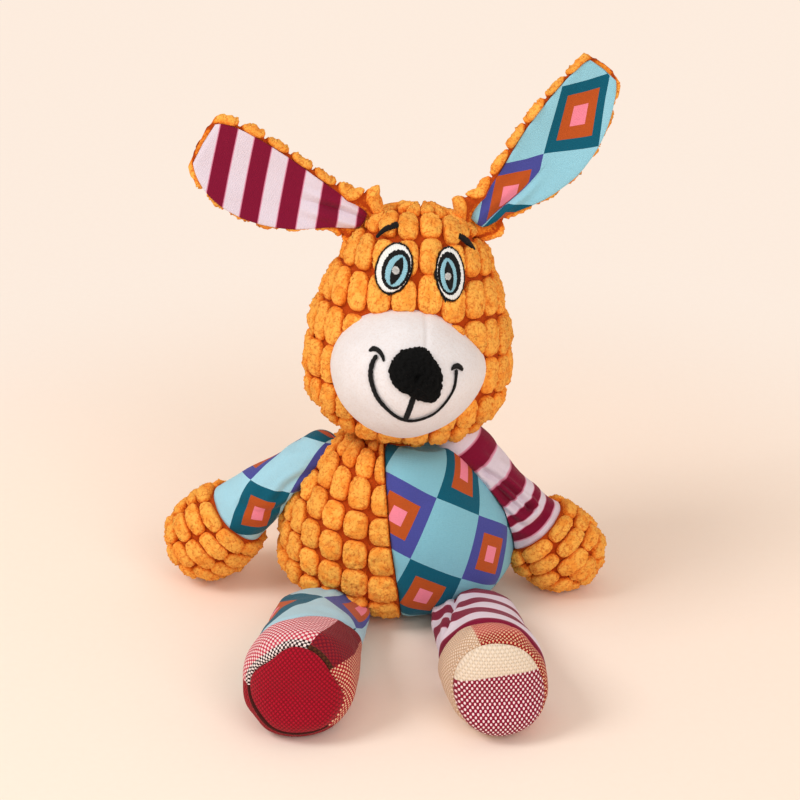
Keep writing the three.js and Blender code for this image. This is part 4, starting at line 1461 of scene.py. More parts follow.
# %% Body: the printed half
# This piece's plain blue differs from that of the other pieces of the same cloth: painted light and
# shade.
body_print = diamond_finish(
    "body_diamonds", (15.3 * mm, 86.3 * mm), (19.5 * mm, -11.3 * mm), (-10.2 * mm, -21.7 * mm), 0,
    plain=seen(132, 194, 212),
)
run, share = np.meshgrid(
    np.linspace(0, body_form.total - 0.01 * mm, 150), np.linspace(0, 1, 170), indexing="ij"
)
low, high = half_seams(1)(run)
turn = low + (high - low) * share
points, normal = body_form(run, turn)
seam_near = np.minimum(turn - low, high - turn) * body_form.girth(run)
folds = lumps(points * np.array([1, 1, 0.45]), 15 * mm, 41) * 0.4 * mm
puckers = lumps(points * np.array([0, 0, 1]), 5 * mm, 42) * 0.25 * mm * np.exp(-seam_near / (3 * mm))
rise = -0.8 * mm * np.exp(-seam_near / (1.1 * mm)) + folds * eased(seam_near, 0, 5 * mm) + puckers
rise = rise + under_head(points, normal, run)
points = points + normal * rise[..., None]
points[..., 0] = np.maximum(points[..., 0], seam_x(points[..., 2]) + seam_gap / 2)
points = np.concatenate([points, seam_wall(points, seam_gap / 2)], 1)
points = above_floor(points + drawing_shift)
cloth = np.stack([turn * body_form.girth(run), run], -1)
cloth = np.concatenate([cloth, cloth[:, -1:], cloth[:, :1]], 1)
print_half = sewn("body_print_half", points, body_print, cloth=cloth, body="torso")
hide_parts("body_left_cover", "body_left_wadding")

# %% [markdown]
# ## The neck
#
# A stuffed roll of the same plush joins the head to the body. It is nearly hidden.

# %% Neck
neck_radius_inside = 13.7 * mm
neck_columns = 9
neck_pitch = 2 * math.pi * math.hypot(neck_radius_inside, least_radius) / neck_columns
neck_shares = [
    [0, 0, 0], [0.07, 0.5, 0.5], [0.25, 0.866, 0.866], [0.5, 1, 1], [0.75, 0.866, 0.866],
    [0.93, 0.5, 0.5], [1, 0, 0],
]
neck_form = stuffed_form(
    neck_shares, 2 * neck_radius_inside, neck_radius_inside, neck_radius_inside,
    base=-neck_radius_inside,
)
neck_rows = 4
neck_ground = -2.6 * mm
neck_pile = 1.7 * mm
neck_grid = kernel_grid(neck_columns, neck_rows, 23)


def neck_run(row):
    """The run of a row of kernels on the neck."""
    return np.clip(row / neck_rows, 0, 1) * neck_form.total


points, normal, held, _ = round_cloth(
    neck_form, neck_grid, neck_pitch, -neck_pitch * neck_columns / 2, neck_run, back_seam
)
points, values = stand_pile(neck_grid, points, normal, held, neck_ground, neck_pile, 24)
neck = sewn(
    "neck_plush", points + pivots["neck_turn"], orange_plush, closed=False, values=values, body="neck"
)
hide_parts("neck_roll")

# %% [markdown]
# ## Arms
#
# Each arm is a printed sleeve with a plush hand. The sleeve is a closed tube of cloth over
# wadding, with folds where the arm bends and a tuck where the hand begins.

# %% Sleeves
arm_forms = {
    side: stuffed_form(arm_shares, length + arm_root, arm_half_width, arm_half_width, base=-arm_root)
    for side, length in arm_lengths.items()
}
leg_form = stuffed_form(
    leg_shares, leg_length + leg_root, leg_half_width, leg_half_width, base=-leg_root
)
limb_turns = full_turn(144)[None]
border_softness = (-14, -7, 0, 7, 14)
body_top = 62 * mm
sewn_root = 12 * mm
skin_gap = 0.6 * mm


def border(table):
    """A run for every turn round a limb: a soft line through (turn in degrees, run in mm)."""
    table = np.array(sorted(table)) * np.array([degree, mm])

    def run_at(turn):
        """The mean of the straight line's run at a few turns near this one."""
        return sum(
            np.interp(turn + shift * degree, table[:, 0], table[:, 1], period=2 * math.pi)
            for shift in border_softness
        ) / len(border_softness)

    return run_at


def limb_lumps(run, turn, radius, size, seed):
    """Soft lumps of that size on the cloth of a limb, up to 0.4 mm high."""
    spot = np.stack([np.sin(turn) * radius, np.cos(turn) * radius, run], -1)
    return lumps(spot, size, seed) * 0.4 * mm


def out_of_body(points, pivot, root, growth):
    """Points of a limb inside the body go out to its skin, but not those of the root."""
    local = points - drawing_shift
    inside = body_form.inside(local, growth)
    away = np.linalg.norm(points - pivot, axis=-1)
    axis = local * np.array([0, 0, 1]) + np.array([body_form.centre_x, 0, 0]) + drawing_shift
    push = (inside < 1) & (local[..., 2] > 0) & (local[..., 2] < body_top)
    pushed = axis + (points - axis) / np.maximum(inside, 0.3)[..., None]
    share = np.where(push, eased(away, root, root + 4 * mm), 0)[..., None]
    return points * (1 - share) + pushed * share


# %% A tube of cloth on a limb


def tube_cloth(
    name, side, limb, form, run, rise, finish, nodes, radius, moved, along_of=None, values_of=None
):
    """A closed tube of cloth on a limb, cut and sewn along turn 0, that stays sewn to the body.

    The run is a grid of rows by turns. The rise and the move are functions: how far the cloth
    stands out at a run and a turn, and where a point of the limb goes, each on its side of the
    toy. Along_of turns a run and a turn to the place along the cloth, and values_of gives
    values kept on the points.
    """
    part = side + "_" + limb
    turn = limb_turns + 0 * run
    points, _ = form(run, turn, rise(run, turn, side))
    axes, pivot = places[part]
    points = out_of_body(put(moved(points, side), part), pivot, sewn_root, skin_gap)
    along = along_of(run, turn, side) if along_of else run
    turn_wide = np.append(limb_turns[0], 2 * math.pi)
    along_wide = np.concatenate([along, along[:, :1]], 1)
    cloth = np.stack(np.broadcast_arrays(turn_wide[None] * radius, along_wide), -1)
    values = {key: np.concatenate([v[:1], v, v[-1:]]) for key, v in (values_of or {}).items()}
    points, cloth = capped(above_floor(points), cloth)
    piece = sewn(name, points, finish, cloth=cloth, values=values)
    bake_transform(piece)
    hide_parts(*nodes)
    return piece


def creased(run, turn, line, radius, depth, width):
    """A crease along a line of (turn in degrees, run in mm), with a low swell beside it."""
    places_on = curve_through(np.array(line) * np.array([radius * degree, mm]), 80)
    gap = line_gap(turn * radius, run, places_on)
    swell = 0.35 * np.exp(-(((gap - 2.1 * width) / width) ** 2))
    return depth * (swell - np.exp(-((gap / width) ** 2)))


# %% Sleeve prints and creases
sleeve_radius = 14 * mm
stripe_pitch = 9.2 * mm
stripe_runs = np.array([4.8, 10, 16.5, 22.5, 28.6, 32.2, 36.4, 39.2, 43.6, 50]) * mm
stripe_count_shares = np.array([0.5, 1, 1.5, 2, 2.5, 3, 3.5, 4, 4.5, 4.9])
# This piece's plain blue differs from that of the other pieces of the same cloth: painted light and
# shade.
sleeve_prints = {
    "right": diamond_finish(
        "sleeve_diamonds", (34.8 * mm, 32.5 * mm), (-19.9 * mm, -8.2 * mm), (-13.8 * mm, 19.6 * mm), 1,
        plain=seen(168, 218, 236),
    ),
    "left": stripe_finish("sleeve_stripes", stripe_pitch, 0.0, 0.0, 0.5),
}
sleeve_creases = {
    "right": [
        ([(60, 12), (80, 20), (70, 28)], 0.9 * mm, 2.2 * mm),
        ([(40, 30), (70, 37), (110, 41)], 0.7 * mm, 2.0 * mm),
        ([(120, 8), (160, 14), (200, 13)], 0.6 * mm, 2.2 * mm),
    ],
    "left": [
        ([(268, 18.4), (244, 25.8), (241, 31.7), (236, 35.1)], 2.3 * mm, 1.5 * mm),
        ([(268, 24.1), (255, 34.0), (236, 36.5)], 2.0 * mm, 1.5 * mm),
        ([(290, 30), (270, 41), (232, 43)], 0.9 * mm, 1.6 * mm),
        ([(150, 15), (190, 19), (225, 16)], 0.8 * mm, 2.2 * mm),
    ],
}
sleeve_ends = {"right": 40 * mm, "left": 37 * mm}
sleeve_swells = {"right": 0.6 * mm, "left": 0.3 * mm}
sleeve_roots = {"right": 1.2 * mm, "left": 3 * mm}
sag_heights = np.array([5, 16, 26, 40, 60]) * mm
sag_shares = np.array([0, 0.7, 1, 0.8, 0.4])
arm_sags = {"right": np.array([0, 0, 0]) * mm, "left": np.array([-2.5, 0, -2.5]) * mm}
sleeve_tilt = 1.6 * mm
sleeve_tilt_turn = 60 * degree
root_shifts = {"right": np.array([5, 5, 0]) * mm, "left": np.array([-8, 0, 6]) * mm}


# %% The sleeves, sewn


def sleeve_rise(run, turn, side):
    """Fuller at the root, tucked in under the hand, with creases and soft lumps between."""
    end = arm_forms[side].run_at(sleeve_ends[side])
    folds = limb_lumps(run, turn, sleeve_radius, 11 * mm, 51)
    for line, depth, width in sleeve_creases[side]:
        folds = folds + creased(run, turn, line, sleeve_radius, depth, width)
    full = sleeve_swells[side] + sleeve_roots[side] * (1 - eased(run, 4 * mm, 26 * mm))
    tuck = 1.6 * mm * eased(run, end - 2 * mm, end) + 3.4 * mm * eased(run, end, end + 1.5 * mm)
    return full + folds * eased(run, 6 * mm, 14 * mm) - tuck


def sleeve_move(points, side):
    """The root end leans over to the body, and the arm sags a little between its ends."""
    axes, _ = places[side + "_arm"]
    share = 1 - eased(points[..., 2:], -7 * mm, 22 * mm)
    sag = np.interp(points[..., 2:], sag_heights, sag_shares)
    return points + (share * root_shifts[side] + sag * arm_sags[side]) @ axes


def sleeve_along(run, turn, side):
    """The left sleeve's bands are gathered, stretched and tilted by its folds."""
    tilt = sleeve_tilt * np.cos(turn - sleeve_tilt_turn) * eased(run, 12 * mm, 36 * mm)
    bands = np.interp(run + tilt, stripe_runs, stripe_count_shares) * stripe_pitch
    return bands if side == "left" else run


for side, form in arm_forms.items():
    end = form.run_at(sleeve_ends[side])
    rows = np.concatenate([np.linspace(0.6 * mm, end, 130), end + np.linspace(0.4, 1.5, 4) * mm])
    tube_cloth(
        side + "_sleeve", side, "arm", form, rows[:, None] + 0 * limb_turns, sleeve_rise,
        sleeve_prints[side],
        (side + "_arm_sleeve", side + "_arm_wadding"), sleeve_radius, sleeve_move, sleeve_along,
    )

# %% [markdown]
# The hands are plush again, but turned: here the columns go round the limb, so the grooves
# between them do too.

# %% Hands
hand_rings = 6
hand_round = 7
hand_overlap = 0.9 * mm
hand_ground = 0.3 * mm
hand_pile = 3.7 * mm
hand_seeds = {"right": 61, "left": 64}
for side, form in arm_forms.items():
    start = form.run_at(sleeve_ends[side]) - hand_overlap
    grid = kernel_grid(hand_rings, hand_round, hand_seeds[side], wobble=0.13, drift=0.12)
    run = start + (form.total - start - 0.02 * mm) * np.clip(grid["column"] / hand_rings, 0, 1)
    turn = grid["row"] / hand_round * 2 * math.pi
    points, normal = form(run, turn)
    held = eased(form.total - run, 0, 4 * mm)
    points, values = stand_pile(grid, points, normal, held, hand_ground, hand_pile, 63)
    middle = np.zeros_like(points[:, :1])
    middle[..., 2] = sleeve_ends[side]
    points, values = with_column(points, values, middle)
    points = np.concatenate([points[:, -1:], points[:, :-1]], 1)
    values = {key: np.concatenate([v[:, -1:], v[:, :-1]], 1) for key, v in values.items()}
    sag = np.interp(points[..., 2:], sag_heights, sag_shares)
    points = points + sag * (arm_sags[side] @ places[side + "_arm"][0])
    points = above_floor(put(points, side + "_arm"))
    hand = sewn(
        side + "_hand_plush", points, orange_plush, closed=False, values=values, body=side + "_arm"
    )
    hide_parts(side + "_hand")

# %% [markdown]
# ## Legs and feet
#
# A leg is a printed cuff, then a foot of coarse linen: the upper is a ring of plaid, and the
# sole a small dome in another linen. The weave is thick enough to see each yarn.

# %% Linen
foot_radius = 17 * mm
plaid_turns = np.array([112, 150, 262, 34]) * degree * foot_radius
plaid_lean = 0.13
plaid_shift = 3.2 * mm
brown_band = 1.3 * mm
piping_width = 0.9 * mm
sole_line = (0.09, 6.4 * mm, 5.0)
cream_turn = 205 * degree * foot_radius


def linen_finish(name, yarn_across, yarn_along, colour_of, yarn_gap_shade=0.5):
    """A plain weave: yarns over and under one another, with a colour from the place, and
    painted shade in the gaps between the yarns.

    Over is the product of two sines, so it changes sign from each yarn crossing to the next.
    """
    finish, tree, shader = new_finish(name, 0.95, 0.08, seen(250, 235, 225), 0.5)
    across, along = cloth_place(tree)
    warp = ribs(tree, across, 2 * yarn_across)
    weft = ribs(tree, along, 2 * yarn_along)
    over = times(tree, warp, weft)
    cover = calc(tree, "MAXIMUM", calc(tree, "ABSOLUTE", warp), calc(tree, "ABSOLUTE", weft))
    fuzz = speckle(tree, 0.5 * mm, 3.0, 0.7)
    colour = colour_of(tree, across, along, over)
    # Painted shade in the gaps between yarns, a dark red.
    gap = times(tree, ramped(tree, cover, 0.75, 0.35), yarn_gap_shade)
    colour = mixed(tree, gap, colour, seen(70, 20, 22))
    shade = calc(tree, "MULTIPLY_ADD", fuzz, 0.36, 0.82)
    colour = mixed(tree, 1.0, colour, shade, "MULTIPLY")
    height = plus(tree, times(tree, cover, 0.8), times(tree, fuzz, 0.35))
    painted(tree, shader, colour, raised(tree, height, 0.4 * mm))
    return finish


# %% Colours of the linens


def woven(tree, over, under_yarn, over_yarn, low=-0.15, high=0.25):
    """Two yarn colours, the second where its yarn lies on top."""
    return mixed(tree, ramped(tree, over, low, high), seen(*under_yarn), seen(*over_yarn))


def crimson_colour(tree, across, along, over):
    """One red, a little lighter on every second crossing."""
    return woven(tree, over, (132, 0, 22), (178, 10, 40), -0.6, 0.6)


def plaid_colour(tree, across, along, over):
    """Blocks by the turn, and by the edge of the sole a dotted band, then brown, then piping."""
    pink = woven(tree, over, (200, 52, 76), (252, 214, 214))
    maroon = woven(tree, over, (112, 14, 34), (150, 26, 36))
    dotted = woven(tree, over, (172, 26, 40), (246, 196, 160), 0.1, 0.4)
    crimson = woven(tree, over, (138, 6, 26), (166, 20, 36))
    edge = measured(tree, "edge")
    across = calc(tree, "MULTIPLY_ADD", edge, plaid_lean, minus(tree, across, plaid_shift))
    colour = mixed(tree, above(tree, across, plaid_turns[0]), dotted, maroon)
    colour = mixed(tree, above(tree, across, plaid_turns[1]), colour, pink)
    colour = mixed(tree, above(tree, across, plaid_turns[2]), colour, crimson)
    colour = mixed(tree, below(tree, across, plaid_turns[3]), colour, crimson)
    checked = woven(tree, over, (34, 14, 16), (255, 236, 232), -0.05, 0.1)
    brown = woven(tree, over, (62, 26, 16), (86, 48, 22))
    by_turn = mixed(tree, above(tree, across, plaid_turns[1]), brown, checked)
    checked_side = above(tree, across, plaid_turns[1])
    band = below(tree, edge, calc(tree, "MULTIPLY_ADD", checked_side, 1.2 * mm, brown_band))
    band = times(tree, band, above(tree, across, plaid_turns[0]))
    band = times(tree, band, below(tree, across, plaid_turns[2]))
    colour = mixed(tree, band, colour, by_turn)
    under = calc(tree, "MAXIMUM", above(tree, across, plaid_turns[2]),
                 below(tree, across, plaid_turns[3]))
    piping = times(tree, under, below(tree, edge, piping_width))
    return mixed(tree, piping, colour, seen(66, 18, 14))


def check_colour(tree, across, along, over):
    """White dots on dark red below a slanting, bowed line, and plain cream above it."""
    line = calc(tree, "MULTIPLY_ADD", across, -sole_line[0], minus(tree, along, sole_line[1]))
    line = calc(tree, "MULTIPLY_ADD", times(tree, across, across), sole_line[2], line)
    lower = woven(tree, over, (140, 12, 46), (250, 222, 226), 0.12, 0.42)
    upper = woven(tree, over, (228, 206, 180), (240, 222, 202), -0.6, 0.6)
    return mixed(tree, ramped(tree, line, -0.3 * mm, 0.3 * mm), lower, upper)


def cream_colour(tree, across, along, over):
    """Cream at one side, salmon elsewhere, and red with dots by the sole."""
    edge = measured(tree, "edge")
    salmon = woven(tree, over, (196, 84, 74), (228, 152, 132), -0.4, 0.4)
    dotted = woven(tree, over, (160, 26, 26), (240, 190, 150), 0.1, 0.4)
    colour = mixed(tree, ramped(tree, edge, 6.5 * mm, 2.5 * mm), salmon, dotted)
    cream = woven(tree, over, (206, 166, 132), (240, 214, 190), -0.4, 0.4)
    return mixed(tree, ramped(tree, across, cream_turn - 0.5 * mm, cream_turn + 0.5 * mm), colour, cream)


# The last number is the share of painted shade in the gaps between yarns.
sole_crimson = linen_finish("sole_crimson", 0.85 * mm, 0.85 * mm, crimson_colour, 0.35)
linen_plaid = linen_finish("linen_plaid", 0.82 * mm, 0.82 * mm, plaid_colour, 0.25)
sole_check = linen_finish("sole_check", 0.87 * mm, 1.17 * mm, check_colour, 0.15)
linen_cream = linen_finish("linen_cream", 0.75 * mm, 0.75 * mm, cream_colour, 0.3)
print("linens:", sole_crimson.name, linen_plaid.name, sole_check.name, linen_cream.name)

# %% [markdown]
# The cuff is a tube of print sewn to the foot's upper. It ends further along on the inner
# side than on the outer one, as the seam line in the photo does, so its rows follow two
# lines round the leg. The root end is wide and goes into the body.

# %% Cuffs
cuff_radius = 16 * mm
sole_swell = 0.9 * mm
cuff_root = 0.6 * mm
cuff_seams = {
    "right": border([(168, 63), (206, 73), (250, 76), (300, 66), (10, 52), (60, 47), (109, 46)]),
    "left": border([
        (274, 58), (224, 69), (178, 74), (156, 77), (137, 86), (90, 84), (30, 66), (330, 58),
    ]),
}
sole_seams = {
    "right": border([
        (268, 92.1), (240, 94.5), (212, 96.4), (188, 93.2), (167, 91.6), (145, 92.2), (125, 93.6),
        (100, 92.5), (78, 88), (55, 88.5), (35, 91), (10, 92.5), (345, 93), (316, 95), (290, 93),
    ]),
    "left": border([
        (243, 87.3), (186, 91.3), (137, 92.1), (117, 93.2), (90, 92), (60, 89.1), (36, 89.7), (355, 89.4),
        (318, 86.7), (274, 88.1),
    ]),
}
# This piece's plain blue differs from that of the other pieces of the same cloth: painted light and
# shade.
cuff_prints = {
    "right": diamond_finish(
        "cuff_diamonds", (51.4 * mm, 28.5 * mm), (13 * mm, 43 * mm), (-18.2 * mm, 18.5 * mm), 0,
        plain=seen(178, 216, 230),
    ),
    "left": stripe_finish("cuff_stripes", 22 * mm, 7 * mm, 0.0, 0.5),
}
leg_heights = np.array([0, 15, 30, 45, 60, 70, 84]) * mm
leg_growths = {
    "right": np.array([[7.0, 6.6, 4.6, 2.8, 1.2, 0.4, 0.2], [1.0, 1.0, 1.2, 1.6, 2.6, 3.2, 2.4]]) * mm,
    "left": np.array([[0.2, 0.2, 0.4, 0.4, 0.0, -0.3, -0.3], [4.0, 4.0, 2.6, 1.2, 0.6, 0.6, 0.8]]) * mm,
}
cuff_creases = {
    "right": [
        ([(196, 10), (190, 22)], 0.6 * mm, 2.0 * mm),
        ([(230, 12), (222, 24)], 0.5 * mm, 2.0 * mm),
    ],
    "left": [
        ([(198, 10), (212, 30), (238, 56)], 1.6 * mm, 1.6 * mm),
        ([(150, 10), (190, 13)], 0.6 * mm, 1.8 * mm),
    ],
}


# %% Where a leg is fuller than its form
band_end = 77 * mm
fold_hidden = 8 * mm
fold_runs = np.array([10, 30, 56]) * mm
fold_turns = np.array([198, 212, 238]) * degree
root_flat = 0.08
root_drop = 3.5 * mm
toe_reach = 4.5 * mm
rim_height = 76 * mm
rim_full = 0.09


def leg_move(points, side):
    """A leg is wider than its form to either side, by its own share of the height."""
    x, z = points[..., 0], points[..., 2]
    low, high = (np.interp(z, leg_heights, row) for row in leg_growths[side])
    wider = np.where(x < 0, -low, high) * eased(np.abs(x), 0, 12 * mm)
    full = rim_full * np.exp(-(((z - rim_height) / (14 * mm)) ** 2))
    flatter = root_flat * (1 - eased(z, 8 * mm, 34 * mm))
    inner = -x if side == "left" else x
    drop = root_drop * (1 - eased(z, 10 * mm, 40 * mm)) * eased(inner, -4 * mm, 10 * mm)
    y = points[..., 1] * (1 + full - flatter) - drop * eased(points[..., 1], 0, 6 * mm)
    toe = toe_reach * eased(-y, 1 * mm, 14 * mm) * eased(z, 58 * mm, 82 * mm)
    return np.stack([x + wider, y, z + toe], -1)


def cuff_along(run, turn, side):
    """The left cuff's bands keep along its seam, and part of one is hidden in the fold."""
    fold_turn = np.interp(run, fold_runs, fold_turns)
    past_fold = eased(turn, fold_turn, fold_turn + 4 * degree)
    hidden = fold_hidden * past_fold * (1 - eased(run, 40 * mm, 60 * mm))
    scaled = run * band_end / cuff_seams["left"](turn)
    return scaled + hidden if side == "left" else run


# %% The cuffs, sewn


def cuff_rise(run, turn, side):
    """Tucked in at its end, with soft folds."""
    folds = limb_lumps(run, turn, cuff_radius, 14 * mm, 71)
    for line, depth, width in cuff_creases[side]:
        folds = folds + creased(run, turn, line, cuff_radius, depth, width)
    beyond = run - cuff_seams[side](turn)
    tuck = 1.1 * mm * eased(beyond, -2.2 * mm, 0) + 2.6 * mm * eased(beyond, 0, 0.7 * mm)
    return 0.5 * mm + folds * eased(run, 5 * mm, 12 * mm) - tuck


for side in ("right", "left"):
    seam_line = cuff_seams[side](limb_turns)
    rows = np.concatenate([np.linspace(0, 1, 110), 1 + np.array([0.4, 0.8]) * mm / seam_line.mean()])
    run = cuff_root + (seam_line - cuff_root) * rows[:, None]
    tube_cloth(
        side + "_cuff", side, "leg", leg_form, run, cuff_rise, cuff_prints[side],
        (side + "_leg_cuff", side + "_leg_wadding"), cuff_radius, leg_move, cuff_along,
    )

# %% [markdown]
# The foot is made of an upper and a sole, both stuffed tight. The upper swells below the
# cuff and turns in at the sole, and the sole is a soft dome within the seam.

# %% Feet
upper_rows = 70
sole_rows = 64
upper_tuck = 0.3 * mm
sole_tuck = -4 * mm


def upper_rise(run, turn, side):
    """Full between its seams, tucked in at both, with a thin roll along the sole."""
    after = run - cuff_seams[side](turn)
    before = sole_seams[side](turn) - run
    full = 1.5 * mm * eased(after, 0, 9 * mm) * eased(before, -1 * mm, 7 * mm)
    roll = 0.7 * mm * np.exp(-(((before - 0.9 * mm) / (0.7 * mm)) ** 2))
    tuck = 2.6 * mm * (1 - eased(after, 0.1 * mm, 1.1 * mm)) + 3 * mm * eased(-before, 0, 0.4 * mm)
    soft = limb_lumps(run, turn, foot_radius, 12 * mm, 81)
    return full + roll - tuck + soft * eased(before, 0, 4 * mm)


for side in ("right", "left"):
    start = cuff_seams[side](limb_turns) + upper_tuck
    end = sole_seams[side](limb_turns)
    share = np.linspace(0, 1, upper_rows)[:, None]
    run = np.concatenate(
        [start + 0.1 * mm, start + (end - start) * share, end + 0.2 * mm, end + 0.5 * mm]
    )
    tube_cloth(
        side + "_foot_linen", side, "leg", leg_form, run, upper_rise,
        linen_plaid if side == "right" else linen_cream,
        (side + "_foot_upper",), foot_radius,
        leg_move, values_of={"edge": end - run},
    )

    share = np.linspace(0, 1, sole_rows)[:, None]
    rim = end + 0.3 * mm
    tip = leg_form.total - 0.05 * mm
    run = np.concatenate([rim, rim + (tip - rim) * share])
    growth = np.concatenate([[[sole_tuck]], 0.5 * mm + sole_swell * np.sin(math.pi * share**0.8)])
    points, _ = leg_form(run, limb_turns + 0 * run, growth + 0 * limb_turns)
    points = leg_move(points, side)
    flat = np.concatenate([points, points[:, :1]], 1)[..., :2]
    points, flat = capped(above_floor(put(points, side + "_leg")), flat)
    flat[-1] = flat[-1].mean(0)
    finish = sole_crimson if side == "right" else sole_check
    sole = sewn(side + "_sole_linen", points, finish, cloth=flat, body=side + "_leg")
    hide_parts(side + "_sole")

# %% [markdown]
# ## Ears
#
# Each ear is a flat blade: a printed panel in front, and kernel plush behind. On one side the
# plush rolls a little round the edge of the print, and on the other only its tips show past
# it. The ear is cupped, and pinched and creased at its root.

# %% Ears
ear_lengths = {"right": 73 * mm, "left": 81 * mm}
ear_bend_heights = {
    "right": np.array([0, 12, 25, 40, 55, 66, 73]) * mm,
    "left": np.array([0, 12, 25, 40, 55, 68, 80]) * mm,
}
ear_bends = {
    "right": np.array([2.6, 0.8, -2.5, -4, -4, -2.5, -1]) * mm,
    "left": np.array([-0.6, 0.4, 3.2, 3.8, 3.2, 1.5, -0.5]) * mm,
}
ear_softness = np.array([-5, -2.5, 0, 2.5, 5]) * mm
ear_narrow_heights = np.array([0, 40, 55, 70, 82]) * mm
ear_narrows = {"right": np.array([1, 1, 1, 1, 1]), "left": np.array([1, 0.97, 0.88, 0.78, 0.78])}
ear_half_width = 15.6 * mm
plump_sides = {"right": 1, "left": -1}
print_shift = 1.2 * mm
print_start = 1.6 * mm
print_end = 3.4 * mm
rim_swell = 1.0 * mm
rim_slack = -0.9 * mm
front_reach = 2.4 * mm
root_half = 7.6 * mm
root_plump = 3.2 * mm
root_start = -4 * mm
rim_roll = 0.04
root_roll = 0.3
# Pile value of the ear's front wall, which sets how much painted shade the plush gives it.
front_wall_shade_level = 0.4
ear_columns = 5
ear_rows = 7
ear_seeds = {"right": 91, "left": 92}
ear_ground = 0.2 * mm
ear_pile = 2.9 * mm
back_inset = 2 * mm
panel_inset = 0.9 * mm
root_deep = 2.2 * mm
fold_bells = {
    "right": [(-3.2, 2.3, 1.9), (0.3, 0.8, -0.8), (3.3, 1.7, 1.7)],
    "left": [(4.7, 3**0.5, 2.2), (2.5, 0.6**0.5, -0.3), (-0.5, 2.0, 1.2)],
}
fold_low = 14 * mm
fold_high = {"right": 34 * mm, "left": 36 * mm}
hidden_at = 2.5 * mm
hidden_below = 38 * mm
hidden_share = 0.56
root_corner = np.array([3.2, 38.0]) * mm
root_weave = np.array([[1.128, 0.088], [-0.024, 0.988]])
ear_corner = np.array([-1.0, 38.8]) * mm
ear_table = outline_at(ear_shares, np.linspace(0, len(ear_shares) - 1, 400))
# This piece's plain blue differs from that of the other pieces of the same cloth: painted light and
# shade.
ear_prints = {
    "right": stripe_finish("ear_stripes", 14.8 * mm, 12.2 * mm, -0.34, 0.52, last=3.7),
    "left": diamond_finish(
        "ear_diamonds", ear_corner, (16.6 * mm, 15.1 * mm), (-11.6 * mm, 24.1 * mm), 1,
        plain=seen(150, 208, 226), last_b=1.0, brown_share=0.66, pink_share=0.29,
    ),
}


# %% The ear's cup, bend and folds


def ear_half(share):
    """The half width of an ear at a share of its length."""
    return np.abs(np.interp(share, ear_table[:, 0], ear_table[:, 1])) * ear_half_width


def ear_cup(x, z):
    """How far forward the blade comes: a cup across it, deeper at the root."""
    return -2.5 * mm * (x / ear_half_width) ** 2 * (1 + 1.5 * (1 - eased(z, 8 * mm, 36 * mm)))


def ear_move(points, side):
    """The ear droops or swings to its side, and the left one is slimmer towards its tip."""
    x, y, z = np.moveaxis(points, -1, 0)
    narrow = np.interp(z, ear_narrow_heights, ear_narrows[side])
    bend = sum(
        np.interp(z + shift, ear_bend_heights[side], ear_bends[side]) for shift in ear_softness
    ) / len(ear_softness)
    return np.stack([x * narrow + bend, y, z], -1)


def pinned(piece):
    """The ear's place is baked into its points."""
    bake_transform(piece)


ear_angle = np.linspace(-110, 110, 400) * degree
ear_arc = np.hypot(np.diff(np.sin(ear_angle)), 0.16 * np.diff(np.cos(ear_angle)))
ear_arc = np.concatenate([[0], np.cumsum(ear_arc)])
ear_arc /= ear_arc[-1]


def ear_fold(x, z, side):
    """How far the cloth stands up beside the crease at the root, less further up the ear.

    It is a sum of bells (middle, width, height) in millimetres. A bell is its height times the
    exponential of minus the square of the distance from its middle over its width.
    """
    total = sum(
        height * np.exp(-(((x - middle * mm) / (width * mm)) ** 2))
        for middle, width, height in fold_bells[side]
    )
    return mm * total * (1 - eased(z, fold_low, fold_high[side]))


def ear_cloth(front, side):
    """The place on the flat cloth of each point of a panel's front.

    The cloth lies straight. Near the left ear's root it is turned and slanted instead, and a
    little of it is hidden in the crease.
    """
    x, z = front[..., 0], front[..., 2]
    cloth = np.stack([x, z], -1)
    if side == "right":
        return cloth
    in_crease = eased(x, hidden_at - 0.3 * mm, hidden_at + 0.5 * mm)
    hidden = np.maximum(hidden_below - z, 0) * hidden_share * in_crease
    slanted = np.stack([ear_move(front, side)[..., 0] + hidden, z], -1) - root_corner
    near_root = (1 - eased(z, 32 * mm, 42 * mm))[..., None]
    return cloth * (1 - near_root) + (ear_corner + slanted @ root_weave.T) * near_root


# %% The plush back


